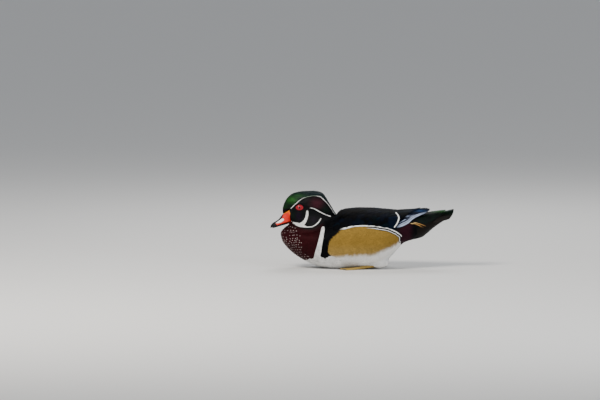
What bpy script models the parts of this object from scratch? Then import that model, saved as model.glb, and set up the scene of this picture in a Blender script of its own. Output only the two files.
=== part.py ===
# Life-size drake wood duck at rest on its belly, feet tucked under, head drawn in, tail raised.
# Metres, +Z up. The bird faces -Y, its left side is +X, and the floor is z = 0.
import math

import bmesh
import bpy
import numpy as np
from mathutils import Matrix, Vector

# Gaps and thicknesses
GAP = 0.0003            # between touching nodes
INNER_LIFT = 0.0011    # underside of a plumage shell above the body, clear of its facets
VANE = 0.0006           # thickness of a feather vane
FLOOR = 0.0
SHORTEST_EDGE = 0.000004

# How much larger than its solid a cutter is
TRUNK_CLEARANCE = 1.5 * GAP
COARSE_CLEARANCE = 3 * GAP
EYE_CLEARANCE = 1.6 * GAP
LID_CLEARANCE = 1.3 * GAP
SLEEVE_CLEARANCE = 2.5 * GAP
SLEEVE_REACH = 0.2      # of the tarsus, beyond the heel

# Where the trunk is parted, along y
BREAST_CUT = -0.078
TAIL_CUT = 0.105
TRUNK_CUT_END = 0.12

# Each form is a row of stations along y: y, top, underside, half width, height of the widest level
TRUNK = (
    (-0.1645, 0.0715, 0.0665, 0.0040, 0.0690),
    (-0.1610, 0.0770, 0.0550, 0.0200, 0.0680),
    (-0.1500, 0.0795, 0.0405, 0.0330, 0.0660),
    (-0.1350, 0.0795, 0.0275, 0.0430, 0.0640),
    (-0.1100, 0.0795, 0.0125, 0.0540, 0.0620),
    (-0.0900, 0.0835, 0.0045, 0.0595, 0.0610),
    (-0.0780, 0.0895, 0.0015, 0.0620, 0.0605),
    (-0.0620, 0.1010, -0.0010, 0.0640, 0.0600),
    (-0.0480, 0.1095, -0.0018, 0.0655, 0.0600),
    (-0.0300, 0.1155, -0.0022, 0.0665, 0.0600),
    (0.0000, 0.1185, -0.0018, 0.0670, 0.0605),
    (0.0250, 0.1180, 0.0010, 0.0655, 0.0625),
    (0.0400, 0.1165, 0.0080, 0.0630, 0.0650),
    (0.0550, 0.1150, 0.0210, 0.0580, 0.0690),
    (0.0700, 0.1138, 0.0375, 0.0525, 0.0740),
    (0.0840, 0.1132, 0.0520, 0.0460, 0.0790),
    (0.1000, 0.1128, 0.0575, 0.0380, 0.0830),
    (0.1180, 0.1120, 0.0620, 0.0300, 0.0880),
    (0.1320, 0.1115, 0.0720, 0.0230, 0.0930),
    (0.1420, 0.1120, 0.0805, 0.0175, 0.0970),
    (0.1520, 0.1135, 0.0882, 0.0130, 0.1020),
    (0.1620, 0.1145, 0.0950, 0.0090, 0.1060),
    (0.1700, 0.1150, 0.1005, 0.0050, 0.1090),
)
HEAD = (
    (-0.1614, 0.1200, 0.1105, 0.0030, 0.1150),
    (-0.1600, 0.1265, 0.1100, 0.0062, 0.1175),
    (-0.1565, 0.1340, 0.1118, 0.0092, 0.1210),
    (-0.1520, 0.1395, 0.1145, 0.0116, 0.1240),
    (-0.1462, 0.1438, 0.1178, 0.0138, 0.1250),
    (-0.1440, 0.1450, 0.1040, 0.0147, 0.1190),
    (-0.1425, 0.1458, 0.0935, 0.0152, 0.1140),
    (-0.1350, 0.1482, 0.0875, 0.0176, 0.1115),
    (-0.1250, 0.1508, 0.0848, 0.0195, 0.1105),
    (-0.1100, 0.1520, 0.0828, 0.0212, 0.1100),
    (-0.0950, 0.1505, 0.0842, 0.0212, 0.1100),
    (-0.0820, 0.1440, 0.0895, 0.0195, 0.1110),
    (-0.0720, 0.1320, 0.0960, 0.0150, 0.1115),
    (-0.0640, 0.1200, 0.1040, 0.0080, 0.1120),
)
CREST = (
    (-0.1594, 0.1315, 0.1255, 0.0045, 0.1285),
    (-0.1560, 0.1372, 0.1225, 0.0095, 0.1290),
    (-0.1500, 0.1440, 0.1200, 0.0130, 0.1290),
    (-0.1370, 0.1520, 0.1120, 0.0180, 0.1270),
    (-0.1180, 0.1554, 0.1060, 0.0212, 0.1250),
    (-0.0980, 0.1558, 0.1010, 0.0228, 0.1225),
    (-0.0850, 0.1537, 0.0990, 0.0222, 0.1200),
    (-0.0790, 0.1497, 0.0990, 0.0208, 0.1185),
    (-0.0740, 0.1428, 0.0993, 0.0190, 0.1170),
    (-0.0680, 0.1326, 0.1005, 0.0158, 0.1140),
    (-0.0600, 0.1193, 0.1030, 0.0105, 0.1100),
    (-0.0535, 0.1088, 0.1060, 0.0030, 0.1074),
)
UPPER_BILL = (
    (-0.1400, 0.1250, 0.0970, 0.0120, 0.1050),
    (-0.1450, 0.1290, 0.0955, 0.0130, 0.1050),
    (-0.1500, 0.1205, 0.0938, 0.0119, 0.1025),
    (-0.1550, 0.1150, 0.0920, 0.0108, 0.0985),
    (-0.1600, 0.1100, 0.0903, 0.0100, 0.0945),
    (-0.1650, 0.1040, 0.0886, 0.0094, 0.0908),
    (-0.1700, 0.0980, 0.0869, 0.0089, 0.0885),
    (-0.1745, 0.0949, 0.0853, 0.0083, 0.0867),
    (-0.1785, 0.0925, 0.0838, 0.0073, 0.0851),
    (-0.1830, 0.0890, 0.0820, 0.0053, 0.0834),
    (-0.1858, 0.0853, 0.0800, 0.0022, 0.0820),
)
LOWER_BILL = (
    (-0.1360, 0.0979, 0.0935, 0.0080, 0.0966),
    (-0.1450, 0.0948, 0.0908, 0.0083, 0.0935),
    (-0.1570, 0.0906, 0.0872, 0.0082, 0.0896),
    (-0.1650, 0.0880, 0.0850, 0.0077, 0.0870),
    (-0.1720, 0.0856, 0.0829, 0.0072, 0.0847),
    (-0.1780, 0.0834, 0.0812, 0.0062, 0.0826),
    (-0.1822, 0.0817, 0.0803, 0.0036, 0.0811),
)
# The neck is a column: height, its front and back along y, half width
NECK = (
    (0.0640, -0.1500, -0.0600, 0.0410),
    (0.0760, -0.1525, -0.0500, 0.0385),
    (0.0860, -0.1500, -0.0450, 0.0350),
    (0.0960, -0.1430, -0.0480, 0.0300),
    (0.1060, -0.1330, -0.0540, 0.0230),
    (0.1140, -0.1200, -0.0660, 0.0120),
)
# Plumage shells on the trunk: y, angle of the lower and of the upper edge, lift at each edge.
# The flank and the plumes swell by the last value of their row between edges of one thickness.
EDGE_LIFT = 0.0013
FLANK = (
    (-0.0655, -22.0, 12.0, 0.0024),
    (-0.0550, -28.0, 20.5, 0.0034),
    (-0.0440, -34.0, 25.0, 0.0040),
    (-0.0170, -40.0, 29.5, 0.0044),
    (0.0000, -42.0, 29.8, 0.0044),
    (0.0240, -43.0, 26.8, 0.0042),
    (0.0510, -46.0, 17.0, 0.0038),
    (0.0680, -48.0, 2.0, 0.0032),
    (0.0785, -44.0, -14.0, 0.0024),
)
PLUMES = (
    (0.0805, -40.0, 11.0, 0.0022),
    (0.0850, -44.0, 14.0, 0.0030),
    (0.0920, -48.0, 18.0, 0.0034),
    (0.1000, -44.0, 18.5, 0.0034),
    (0.1100, -30.0, 12.0, 0.0030),
    (0.1200, -21.0, 0.0, 0.0026),
    (0.1270, -17.0, -7.0, 0.0020),
)
WING = (
    (-0.0490, 29.0, 49.0, 0.0016, 0.0016),
    (-0.0400, 28.5, 52.5, 0.0020, 0.0030),
    (-0.0170, 31.6, 55.2, 0.0020, 0.0035),
    (0.0000, 31.8, 56.0, 0.0020, 0.0036),
    (0.0240, 28.8, 55.8, 0.0020, 0.0038),
    (0.0500, 19.5, 57.8, 0.0020, 0.0042),
    (0.0705, 13.0, 66.0, 0.0020, 0.0050),
    (0.0800, 16.5, 76.0, 0.0022, 0.0060),
    (0.0886, 21.0, 84.0, 0.0025, 0.0066),
    (0.0962, 32.0, 87.0, 0.0030, 0.0072),
    (0.1080, 44.0, 87.5, 0.0035, 0.0085),
    (0.1167, 49.0, 87.5, 0.0040, 0.0098),
    (0.1254, 52.0, 87.0, 0.0040, 0.0104),
    (0.1366, 58.0, 80.0, 0.0045, 0.0100),
)
MANTLE = (
    (-0.0510, 53.5, 0.0013),
    (-0.0420, 55.0, 0.0058),
    (-0.0300, 57.0, 0.0055),
    (0.0000, 58.4, 0.0044),
    (0.0300, 58.1, 0.0043),
    (0.0500, 60.5, 0.0046),
    (0.0705, 69.5, 0.0044),
    (0.0800, 79.5, 0.0044),
    (0.0860, 85.0, 0.0030),
)
# Feather vanes: where along t the outline of a vane is given, and its width there
BROAD = ((0.0, 0.50), (0.22, 0.86), (0.78, 1.0), (1.0, 0.34))
POINTED = ((0.0, 0.70), (0.25, 1.0), (0.68, 0.78), (1.0, 0.16))
CREST_SHAPE = ((0.0, 0.75), (0.38, 1.0), (1.0, 0.18))
TAIL_SHAPE = ((0.0, 0.60), (0.45, 0.92), (0.88, 1.0), (1.0, 0.50))
# How far a vane stands over its shell along t: the root is sunk in, the tip clears the next tier
RISE = ((0.0, -0.0008), (0.20, 0.0008), (1.0, 0.0019))
CREST_RISE = ((0.0, -0.0008), (0.25, 0.0007), (1.0, 0.0011))
TIP_RISE = RISE[-1][1]
VANE_ROOM = 0.7 * TIP_RISE
# Tiers of vanes on a shell: y of the roots, length, width, shares between the shell's edges
FLANK_TIERS = (
    (-0.0600, 0.036, 0.0175, (0.32, 0.70)),
    (-0.0350, 0.039, 0.0210, (0.20, 0.52, 0.82)),
    (-0.0050, 0.039, 0.0210, (0.34, 0.68)),
    (0.0240, 0.039, 0.0185, (0.20, 0.52, 0.81)),
)
WING_TIERS = (
    (-0.0420, 0.037, 0.0115, (0.29, 0.71)),
    (-0.0140, 0.037, 0.0115, (0.27, 0.73)),
    (0.0130, 0.037, 0.0120, (0.27, 0.73)),
)
SECONDARY_TIER = (0.0400, 0.0360, 0.0100, (0.14, 0.36, 0.57))
TERTIAL_TIER = (0.0500, 0.0600, 0.0130, (0.78,))
# Each folded primary: share at its root and at its tip, y of its tip
PRIMARY_ROOT = 0.0660
PRIMARY_WIDTH = 0.0085
PRIMARIES = ((0.12, 0.16, 0.1300), (0.34, 0.48, 0.1370), (0.56, 0.80, 0.1330))
WING_SHELL_END = 0.1200
# Towards its tip the folded wing stands free over the tail
WING_FREE = (0.1020, 0.1160)
WING_FREE_THICKNESS = 0.0022
MANTLE_TIERS = (
    (-0.0400, 0.034, 0.0215, (0.19, 0.50, 0.81)),
    (-0.0170, 0.038, 0.0190, (0.30, 0.70)),
    (0.0070, 0.038, 0.0205, (0.19, 0.50, 0.81)),
    (0.0330, 0.036, 0.0160, (0.24, 0.50, 0.76)),
)
PLUME_TIERS = (
    (0.0830, 0.024, 0.0120, (0.30,)),
    (0.0880, 0.033, 0.0080, (0.86,)),
    (0.0960, 0.033, 0.0080, (0.50,)),
)
# Crest feathers: y of the roots, length, width, angles round the crest
CREST_TIERS = (
    (-0.1300, 0.038, 0.0120, (58, 122)),
    (-0.1120, 0.038, 0.0120, (22, 90, 158)),
    (-0.0980, 0.040, 0.0110, (50, 130)),
    (-0.0840, 0.030, 0.0085, (4, 28, 72, 108, 152, 176)),
)
TAIL_FEATHER_WIDTHS = (0.0140, 0.0110)
TAIL_ROLL = (4.0, 48.0)
# Coverts over and under the root of the tail: y of the roots, length, width, angles round the trunk
COVERTS = (
    (0.1160, 0.036, 0.0125, (62, 90, 118)),
    (0.1160, 0.038, 0.0150, (-62, -90, -118)),
)

# Eye: a ball set in the side of the head, in a ring of bare lid
EYE_CENTRE = (0.0143, -0.1272, 0.1228)
EYE_RADIUS = 0.0066
LID_CENTRE = (0.0163, -0.1272, 0.1228)
LID_HALF = (0.0031, 0.0081, 0.0065)
# Nostril: a slot in the side of the bill
NOSTRIL_CENTRE = (0.0068, -0.1618, 0.0992)
NOSTRIL_HALF = (0.0022, 0.0027, 0.0011)
# Foot: the tarsus lies along the floor, the toes point forward
HEEL = (0.0340, 0.0330, 0.0075)
TOE_ROOT = (0.0395, -0.0010, 0.0042)
TARSUS_RADII = (0.0030, 0.0025, 0.0030)
TOE_TIPS = ((0.0290, -0.0370), (0.0455, -0.0450), (0.0600, -0.0340))
TOE_TIP_LEVEL = 0.0013
TOE_RADII = (0.0025, 0.0021, 0.0014)
TOE_SAG = 0.0006
# Claw: distances beyond the toe's tip and rise there
CLAW_LINE = ((-0.0030, 0.0), (0.0028, 0.0004), (0.0055, -0.0008))
CLAW_RADII = (0.0012, 0.0010, 0.0003)
WEB_UNDERSIDE = 0.0008
WEB_THICKNESS = 0.0012
WEB_DIP = 0.86
WEB_START = 0.06
WEB_REACH = 0.97
HALLUX_TIP = (0.0270, 0.0110, 0.0012)
HALLUX_RADII = (0.0018, 0.0013, 0.0007)
THIGH_CENTRE = (0.0340, 0.0340, 0.0140)
THIGH_HALF = (0.0115, 0.0215, 0.0115)
FOOT_HOLLOW = ((0.0440, -0.0060, 0.0), (0.0230, 0.0520, 0.0100))
# Tail fan: the middle feather and the outermost one, root and tip
TAIL_PAIRS = 7
TAIL_MIDDLE = ((0.0022, 0.1350, 0.1035), (0.0045, 0.1855, 0.1182))
TAIL_OUTER = ((0.0120, 0.1250, 0.0915), (0.0235, 0.1765, 0.1050))
TAIL_BEND = np.array([1.0, 1.6, 1.25])

# Rows, columns and spacings of the meshes
TRUNK_COLUMNS = 32
TAIL_COLUMNS = 16
HEAD_COLUMNS = 24
COARSE_COLUMNS = 16
CREST_COLUMNS = 18
NECK_RINGS = 6
NECK_COLUMNS = 24
UPPER_COLUMNS = 16
LOWER_COLUMNS = 12
NOSTRIL_SEGMENTS = 8
EYE_SEGMENTS = 12
THIGH_SEGMENTS = 10
SHANK_SIDES = 8
TOE_SIDES = 6
CLAW_SIDES = 5
WEB_COLUMNS = 5
SHELL_SPACING = 0.0122
PLUME_SPACING = 0.0056
FLANK_COLUMNS = 7
PLUME_COLUMNS = 5
WING_RINGS = 15
WING_COLUMNS = 7
MANTLE_COLUMNS = 9

SIDES = (("left", 1.0), ("right", -1.0))
PLUMAGE = {
    "bill_red": ((0.72, 0.10, 0.05), 0.35),
    "bill_dark": ((0.03, 0.02, 0.03), 0.35),
    "head_dark": ((0.02, 0.05, 0.04), 0.45),
    "crest_green": ((0.02, 0.10, 0.05), 0.35),
    "eye_red": ((0.55, 0.01, 0.02), 0.05),
    "lid_red": ((0.65, 0.08, 0.06), 0.5),
    "maroon": ((0.12, 0.02, 0.03), 0.6),
    "trunk_white": ((0.75, 0.72, 0.66), 0.7),
    "back_black": ((0.01, 0.015, 0.025), 0.4),
    "flank_buff": ((0.55, 0.38, 0.14), 0.65),
    "plume_orange": ((0.45, 0.22, 0.07), 0.6),
    "tail_black": ((0.01, 0.02, 0.015), 0.4),
    "foot_yellow": ((0.38, 0.29, 0.12), 0.55),
}


def smooth_curve(places, values):
    """A smooth function through the values that adds no bumps of its own between them."""
    places, values = np.asarray(places, float), np.asarray(values, float)
    steps = np.diff(places)
    rises = np.diff(values) / steps
    slopes = np.zeros(len(values))
    slopes[0], slopes[-1] = rises[0], rises[-1]
    before, after = rises[:-1], rises[1:]
    same_way = before * after > 0
    mean = 2 * before * after / np.where(same_way, before + after, 1.0)
    slopes[1:-1] = np.where(same_way, mean, 0.0)

    def at(x):
        x = np.clip(np.asarray(x, float), places[0], places[-1])
        i = np.clip(np.searchsorted(places, x) - 1, 0, len(steps) - 1)
        t = (x - places[i]) / steps[i]
        start = values[i] * (1 + 2 * t) * (1 - t) ** 2 + steps[i] * slopes[i] * t * (1 - t) ** 2
        end = values[i + 1] * t * t * (3 - 2 * t) + steps[i] * slopes[i + 1] * t * t * (t - 1)
        return start + end

    return at


class Form:
    """A body form along y. Round it, 0 degrees is the left side, 90 the top and -90 the underside."""

    def __init__(self, stations, side_power=0.92, top_power=0.95, under_power=0.95):
        columns = np.array(sorted(stations)).T
        self.first, self.last = columns[0][0], columns[0][-1]
        self.top, self.under, self.half, self.level = (
            smooth_curve(columns[0], column) for column in columns[1:]
        )
        self.side_power, self.top_power, self.under_power = side_power, top_power, under_power

    def skin(self, y, angle):
        y = np.clip(y, self.first, self.last)
        turn = np.radians(angle)
        across, rise = np.cos(turn), np.sin(turn)
        level = self.level(y)
        up = (self.top(y) - level) * np.maximum(rise, 0) ** self.top_power
        down = (level - self.under(y)) * np.maximum(-rise, 0) ** self.under_power
        x = self.half(y) * np.sign(across) * np.abs(across) ** self.side_power
        return np.stack(np.broadcast_arrays(x, y, level + up - down), axis=-1)

    def normal(self, y, angle):
        along = self.skin(y + 0.0004, angle) - self.skin(y - 0.0004, angle)
        around = self.skin(y, angle + 0.5) - self.skin(y, angle - 0.5)
        out = np.cross(along, around)
        out /= np.linalg.norm(out, axis=-1, keepdims=True) + 1e-12
        return out

    def point(self, y, angle, lift=0.0):
        y, angle, lift = np.broadcast_arrays(*(np.asarray(v, float) for v in (y, angle, lift)))
        return self.skin(y, angle) + self.normal(y, angle) * lift[..., None]


def clear_scene():
    for obj in list(bpy.data.objects):
        bpy.data.objects.remove(obj, do_unlink=True)


def new_collection(name):
    made = bpy.data.collections.new(name)
    bpy.context.scene.collection.children.link(made)
    return made


def new_material(name):
    colour, roughness = PLUMAGE[name]
    made = bpy.data.materials.new(name)
    made.use_nodes = True
    shader = made.node_tree.nodes["Principled BSDF"]
    shader.inputs["Base Color"].default_value = (*colour, 1.0)
    shader.inputs["Roughness"].default_value = roughness
    return made


clear_scene()
DUCK = new_collection("wood_duck")
CUTTERS = new_collection("cutters")
MATERIALS = {name: new_material(name) for name in PLUMAGE}
TRUNK_FORM = Form(TRUNK)
HEAD_FORM = Form(HEAD)
CREST_FORM = Form(CREST)
UPPER_FORM = Form(UPPER_BILL, side_power=0.85, top_power=1.0, under_power=1.0)
LOWER_FORM = Form(LOWER_BILL, side_power=0.85, top_power=1.0, under_power=1.0)
# Rings along y
BREAST_FRONT = (-0.1645, -0.1628, -0.1570)
BREAST_REST = np.linspace(-0.149, BREAST_CUT - GAP / 2, 7)
BREAST_RINGS = np.concatenate([BREAST_FRONT, BREAST_REST])
TORSO_RINGS = np.linspace(BREAST_CUT + GAP / 2, TAIL_CUT - GAP / 2, 15)
TAIL_RINGS = np.linspace(TAIL_CUT + GAP / 2, TRUNK_FORM.last, 8)
HEAD_RINGS = np.array((
    -0.1614, -0.1600, -0.1565, -0.1520, -0.1462, -0.1445, -0.1425, -0.1345,
    -0.1260, -0.1160, -0.1050, -0.0950, -0.0860, -0.0780, -0.0710, -0.0640,
))
CREST_RINGS = np.array((
    -0.1594, -0.1500, -0.1390, -0.1270, -0.1150, -0.1030, -0.0920, -0.0840,
    -0.0770, -0.0700, -0.0620, -0.0535,
))
UPPER_RINGS = np.linspace(UPPER_FORM.first, UPPER_FORM.last, 11)
LOWER_RINGS = np.linspace(LOWER_FORM.first, LOWER_FORM.last, 8)
LOWER_CUT_RINGS = np.linspace(LOWER_FORM.first, LOWER_FORM.last, 12)


def outward(points, faces):
    """The faces turned, if need be, so that they enclose a positive volume."""
    corners = points[faces]
    volume = np.einsum("ij,ij->i", corners[:, 0], np.cross(corners[:, 1], corners[:, 2])).sum()
    return faces if volume > 0 else faces[:, ::-1]


def new_object(name, points, faces, material=None, cutter=False):
    mesh = bpy.data.meshes.new(name)
    mesh.from_pydata(points.tolist(), [], outward(points, faces).tolist())
    obj = bpy.data.objects.new(name, mesh)
    (CUTTERS if cutter else DUCK).objects.link(obj)
    if material:
        mesh.materials.append(MATERIALS[material])
    if cutter:
        obj.hide_render = True
        obj.display_type = "WIRE"
    return obj


def grid_faces(rows, columns, wrap, first=0):
    """Triangles of a grid of points, every cell split the same way."""
    r, c = np.meshgrid(np.arange(rows - 1), np.arange(columns if wrap else columns - 1), indexing="ij")
    a = first + r * columns + c
    b = first + r * columns + (c + 1) % columns
    d = first + (r + 1) * columns + c
    e = first + (r + 1) * columns + (c + 1) % columns
    return np.concatenate([
        np.stack([a, b, e], axis=-1).reshape(-1, 3),
        np.stack([a, e, d], axis=-1).reshape(-1, 3),
    ])


def loft(name, rings, material=None, cutter=False):
    """A closed solid through rings of points, each end closed by a fan to its middle."""
    rows, columns = rings.shape[:2]
    points = np.concatenate([rings.reshape(-1, 3), rings[[0, -1]].mean(axis=1)])
    around = np.arange(columns)
    after = (around + 1) % columns
    last = (rows - 1) * columns
    front = np.stack([np.full(columns, rows * columns), after, around], axis=-1)
    back = np.stack([np.full(columns, rows * columns + 1), last + around, last + after], axis=-1)
    faces = np.concatenate([grid_faces(rows, columns, True), front, back])
    return new_object(name, points, faces, material, cutter)


def sheet(name, inner, outer, material=None, cutter=False):
    """A closed sheet between two grids of points, both faces split alike."""
    rows, columns = inner.shape[:2]
    count = rows * columns
    border = np.concatenate([
        np.arange(columns),
        np.arange(2, rows) * columns - 1,
        count - 1 - np.arange(columns),
        np.arange(rows - 2, 0, -1) * columns,
    ])
    after = np.roll(border, -1)
    faces = np.concatenate([
        grid_faces(rows, columns, False),
        grid_faces(rows, columns, False, count)[:, ::-1],
        np.stack([border, border + count, after], axis=-1),
        np.stack([after, border + count, after + count], axis=-1),
    ])
    points = np.concatenate([inner.reshape(-1, 3), outer.reshape(-1, 3)])
    return new_object(name, points, faces, material, cutter)


def form_solid(name, form, ys, columns, material=None, grow=0.0, cutter=False):
    angles = np.arange(columns) * 360.0 / columns
    rings = form.point(np.asarray(ys)[:, None], angles[None, :], grow)
    rings[..., 2] = np.maximum(rings[..., 2], FLOOR)
    return loft(name, rings, material, cutter)


def ellipsoid(name, centre, half, material=None, grow=0.0, cutter=False, segments=EYE_SEGMENTS):
    mesh = bpy.data.meshes.new(name)
    shape = bmesh.new()
    bmesh.ops.create_uvsphere(shape, u_segments=segments, v_segments=segments // 2, radius=1.0)
    scale = Matrix.Diagonal((*(h + grow for h in half), 1.0))
    turn = Matrix.Rotation(math.radians(90), 4, "Y")
    shape.transform(Matrix.Translation(Vector(centre)) @ scale @ turn)
    shape.to_mesh(mesh)
    shape.free()
    obj = bpy.data.objects.new(name, mesh)
    (CUTTERS if cutter else DUCK).objects.link(obj)
    if material:
        mesh.materials.append(MATERIALS[material])
    if cutter:
        obj.hide_render = True
        obj.display_type = "WIRE"
    return obj


def apply_boolean(obj, operation, others, solver="EXACT"):
    """Joins the others to obj, or cuts them from it, in one step, and removes them."""
    held = bpy.data.collections.new("held")
    bpy.context.scene.collection.children.link(held)
    for other in others:
        for home in list(other.users_collection):
            home.objects.unlink(other)
        held.objects.link(other)
    modifier = obj.modifiers.new("join", "BOOLEAN")
    modifier.operation = operation
    modifier.operand_type = "COLLECTION"
    modifier.collection = held
    modifier.solver = solver
    graph = bpy.context.evaluated_depsgraph_get()
    made = bpy.data.meshes.new_from_object(obj.evaluated_get(graph))
    obj.modifiers.clear()
    obj.data = made
    for other in list(held.objects):
        bpy.data.objects.remove(other, do_unlink=True)
    bpy.data.collections.remove(held)
    keep_largest(obj)
    return obj


def keep_largest(obj):
    """Keeps the one closed surface of largest volume."""
    shape = bmesh.new()
    shape.from_mesh(obj.data)
    left, best = set(shape.verts), (0.0, None)
    groups = []
    while left:
        group, front = set(), [left.pop()]
        while front:
            vertex = front.pop()
            group.add(vertex)
            for edge in vertex.link_edges:
                other = edge.other_vert(vertex)
                if other in left:
                    left.discard(other)
                    front.append(other)
        groups.append(group)
        faces = {face for vertex in group for face in vertex.link_faces}
        volume = sum(
            face.calc_area() * face.normal.dot(face.calc_center_median()) for face in faces
        )
        if abs(volume) > best[0]:
            best = (abs(volume), group)
    for group in groups:
        if group is not best[1]:
            bmesh.ops.delete(shape, geom=list(group), context="VERTS")
    bmesh.ops.dissolve_degenerate(shape, dist=SHORTEST_EDGE, edges=shape.edges)
    bmesh.ops.triangulate(shape, faces=shape.faces)
    shape.to_mesh(obj.data)
    shape.free()


def mirrored(points, side):
    points = np.array(points, float)
    points[..., 0] *= side
    return points


def plank(centres, widths, normals, roll=0.0):
    """A closed feather vane along its centre line, flat in section, narrowing to its tip."""
    ways = np.gradient(centres, axis=0)
    ways /= np.linalg.norm(ways, axis=1, keepdims=True)
    across = np.cross(ways, normals)
    across /= np.linalg.norm(across, axis=1, keepdims=True)
    up = np.cross(across, ways)
    turn = math.radians(roll)
    flat, rise = math.cos(turn), math.sin(turn)
    across, up = across * flat + up * rise, up * flat - across * rise
    sideways = across * widths[:, None] / 2
    thick = up * VANE / 2
    low = np.stack([centres - sideways - thick, centres + sideways - thick], axis=1)
    high = np.stack([centres - sideways + thick, centres + sideways + thick], axis=1)
    return sheet("vane", low, high)


def outline(shape):
    return np.array(shape).T


def coat_vane(coat, side, root, length, width, share, shape=BROAD, tip_share=None, roll=0.0):
    """A vane on a shell. It follows the shell's edges back, from inside it to a little above it."""
    low, high, lift = coat
    t, widths = outline(shape)
    y = root + length * t
    here = share + ((share if tip_share is None else tip_share) - share) * t
    angle = low(y) + (high(y) - low(y)) * here
    above = lift(y, here) + np.interp(t, *outline(RISE))
    centres = TRUNK_FORM.point(y, angle, above)
    normals = TRUNK_FORM.normal(y, angle)
    return plank(mirrored(centres, side), widths * width, mirrored(normals, side), roll * side)


def tier_vanes(coat, side, tiers, shape=BROAD):
    return [
        coat_vane(coat, side, root, length, width, share, shape)
        for root, length, width, shares in tiers
        for share in shares
    ]


def shell(name, ys, low, high, lift, columns, material, side=1.0, under=None):
    """A sheet of plumage on the trunk between two edges, its faces lifted by under and by lift."""
    share = np.linspace(0, 1, columns)
    angles = low[:, None] + (high - low)[:, None] * share[None, :]
    outer = np.broadcast_to(lift(ys[:, None], share[None, :]), angles.shape)
    inner = np.full(angles.shape, INNER_LIFT) if under is None else under(ys[:, None], share[None, :])
    inside = TRUNK_FORM.point(ys[:, None], angles, inner)
    outside = TRUNK_FORM.point(ys[:, None], angles, outer)
    return sheet(name, mirrored(inside, side), mirrored(outside, side), material)


def curves(table):
    columns = np.array(table).T
    return [smooth_curve(columns[0], column) for column in columns[1:]]


def between(table, spacing):
    """Places along y from the table's first row to its last, about a spacing apart."""
    first, last = table[0][0], table[-1][0]
    return np.linspace(first, last, int(round((last - first) / spacing)) + 1)


def swell(share):
    return np.sqrt(np.clip(4 * share * (1 - share), 0, 1))


def build_trunk():
    form_solid("breast", TRUNK_FORM, BREAST_RINGS, TRUNK_COLUMNS, "maroon")
    torso = form_solid("torso", TRUNK_FORM, TORSO_RINGS, TRUNK_COLUMNS, "trunk_white")
    apply_boolean(torso, "DIFFERENCE", [cut for _, sign in SIDES for cut in foot_cutters(sign)])


def foot_cutters(sign):
    """The hollow that the plumage leaves over a foot, and a sleeve round its tarsus."""
    heel, root = mirrored(HEEL, sign), mirrored(TOE_ROOT, sign)
    line = [heel + (heel - root) * SLEEVE_REACH, (heel + root) / 2, root]
    radii = [radius + SLEEVE_CLEARANCE for radius in TARSUS_RADII]
    sleeve = tube("cut", line, radii, cutter=True)
    centre, half = FOOT_HOLLOW
    return [sleeve, ellipsoid("cut", mirrored(centre, sign), half, cutter=True)]


def neck_rings():
    table = np.array(NECK).T
    heights = np.linspace(table[0][0], table[0][-1], NECK_RINGS)
    front, back, half = (smooth_curve(table[0], column)(heights) for column in table[1:])
    angles = np.radians(np.arange(NECK_COLUMNS) * 360.0 / NECK_COLUMNS)
    middle, reach = (front + back) / 2, (back - front) / 2
    x = half[:, None] * np.cos(angles)
    y = middle[:, None] + reach[:, None] * np.sin(angles)
    z = np.broadcast_to(heights[:, None], x.shape)
    return np.stack([x, y, z], axis=-1)


def head_cutter():
    return form_solid("cut", HEAD_FORM, HEAD_RINGS, HEAD_COLUMNS, None, GAP, True)


def inner_head_cutter():
    """A coarser head, large enough to clear every corner of the real one."""
    return form_solid("cut", HEAD_FORM, HEAD_RINGS, COARSE_COLUMNS, None, COARSE_CLEARANCE, True)


def crest_cutter():
    return form_solid("cut", CREST_FORM, CREST_RINGS, CREST_COLUMNS, None, GAP, True)


def lower_bill_cutter():
    return form_solid("cut", LOWER_FORM, LOWER_CUT_RINGS, COARSE_COLUMNS, None, GAP, True)


def trunk_cutter():
    """The whole trunk, on the same rings as its nodes, a little larger."""
    rings = np.concatenate([BREAST_RINGS, TORSO_RINGS, [TRUNK_CUT_END]])
    return form_solid("cut", TRUNK_FORM, rings, TRUNK_COLUMNS, None, TRUNK_CLEARANCE, True)


def eye_cutters():
    cutters = []
    for _, sign in SIDES:
        eye, lid = mirrored(EYE_CENTRE, sign), mirrored(LID_CENTRE, sign)
        cutters.append(ellipsoid("cut", eye, (EYE_RADIUS,) * 3, None, EYE_CLEARANCE, True))
        cutters.append(ellipsoid("cut", lid, LID_HALF, None, LID_CLEARANCE, True))
    return cutters


def build_head():
    head = form_solid("head", HEAD_FORM, HEAD_RINGS, HEAD_COLUMNS, "head_dark")
    apply_boolean(head, "DIFFERENCE", eye_cutters())


def build_eyes():
    for side, sign in SIDES:
        centre = mirrored(EYE_CENTRE, sign)
        ellipsoid("eye_" + side, centre, (EYE_RADIUS,) * 3, "eye_red")
        lid = ellipsoid("eyelid_" + side, mirrored(LID_CENTRE, sign), LID_HALF, "lid_red")
        socket = ellipsoid("cut", centre, (EYE_RADIUS,) * 3, None, GAP, True)
        apply_boolean(lid, "DIFFERENCE", [socket])


def build_crest():
    crest = form_solid("crest", CREST_FORM, CREST_RINGS, CREST_COLUMNS, "crest_green")
    apply_boolean(crest, "DIFFERENCE", [inner_head_cutter(), trunk_cutter()] + eye_cutters())
    t, widths = outline(CREST_SHAPE)
    vanes = []
    for root, length, width, angles in CREST_TIERS:
        for angle in angles:
            y = root + length * t
            centres = CREST_FORM.point(y, angle, np.interp(t, *outline(CREST_RISE)))
            vanes.append(plank(centres, widths * width, CREST_FORM.normal(y, angle)))
    apply_boolean(crest, "UNION", vanes, "MANIFOLD")


def build_neck():
    neck = loft("neck", neck_rings(), "maroon")
    cuts = [inner_head_cutter(), crest_cutter(), lower_bill_cutter(), trunk_cutter()]
    apply_boolean(neck, "DIFFERENCE", cuts)


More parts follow.
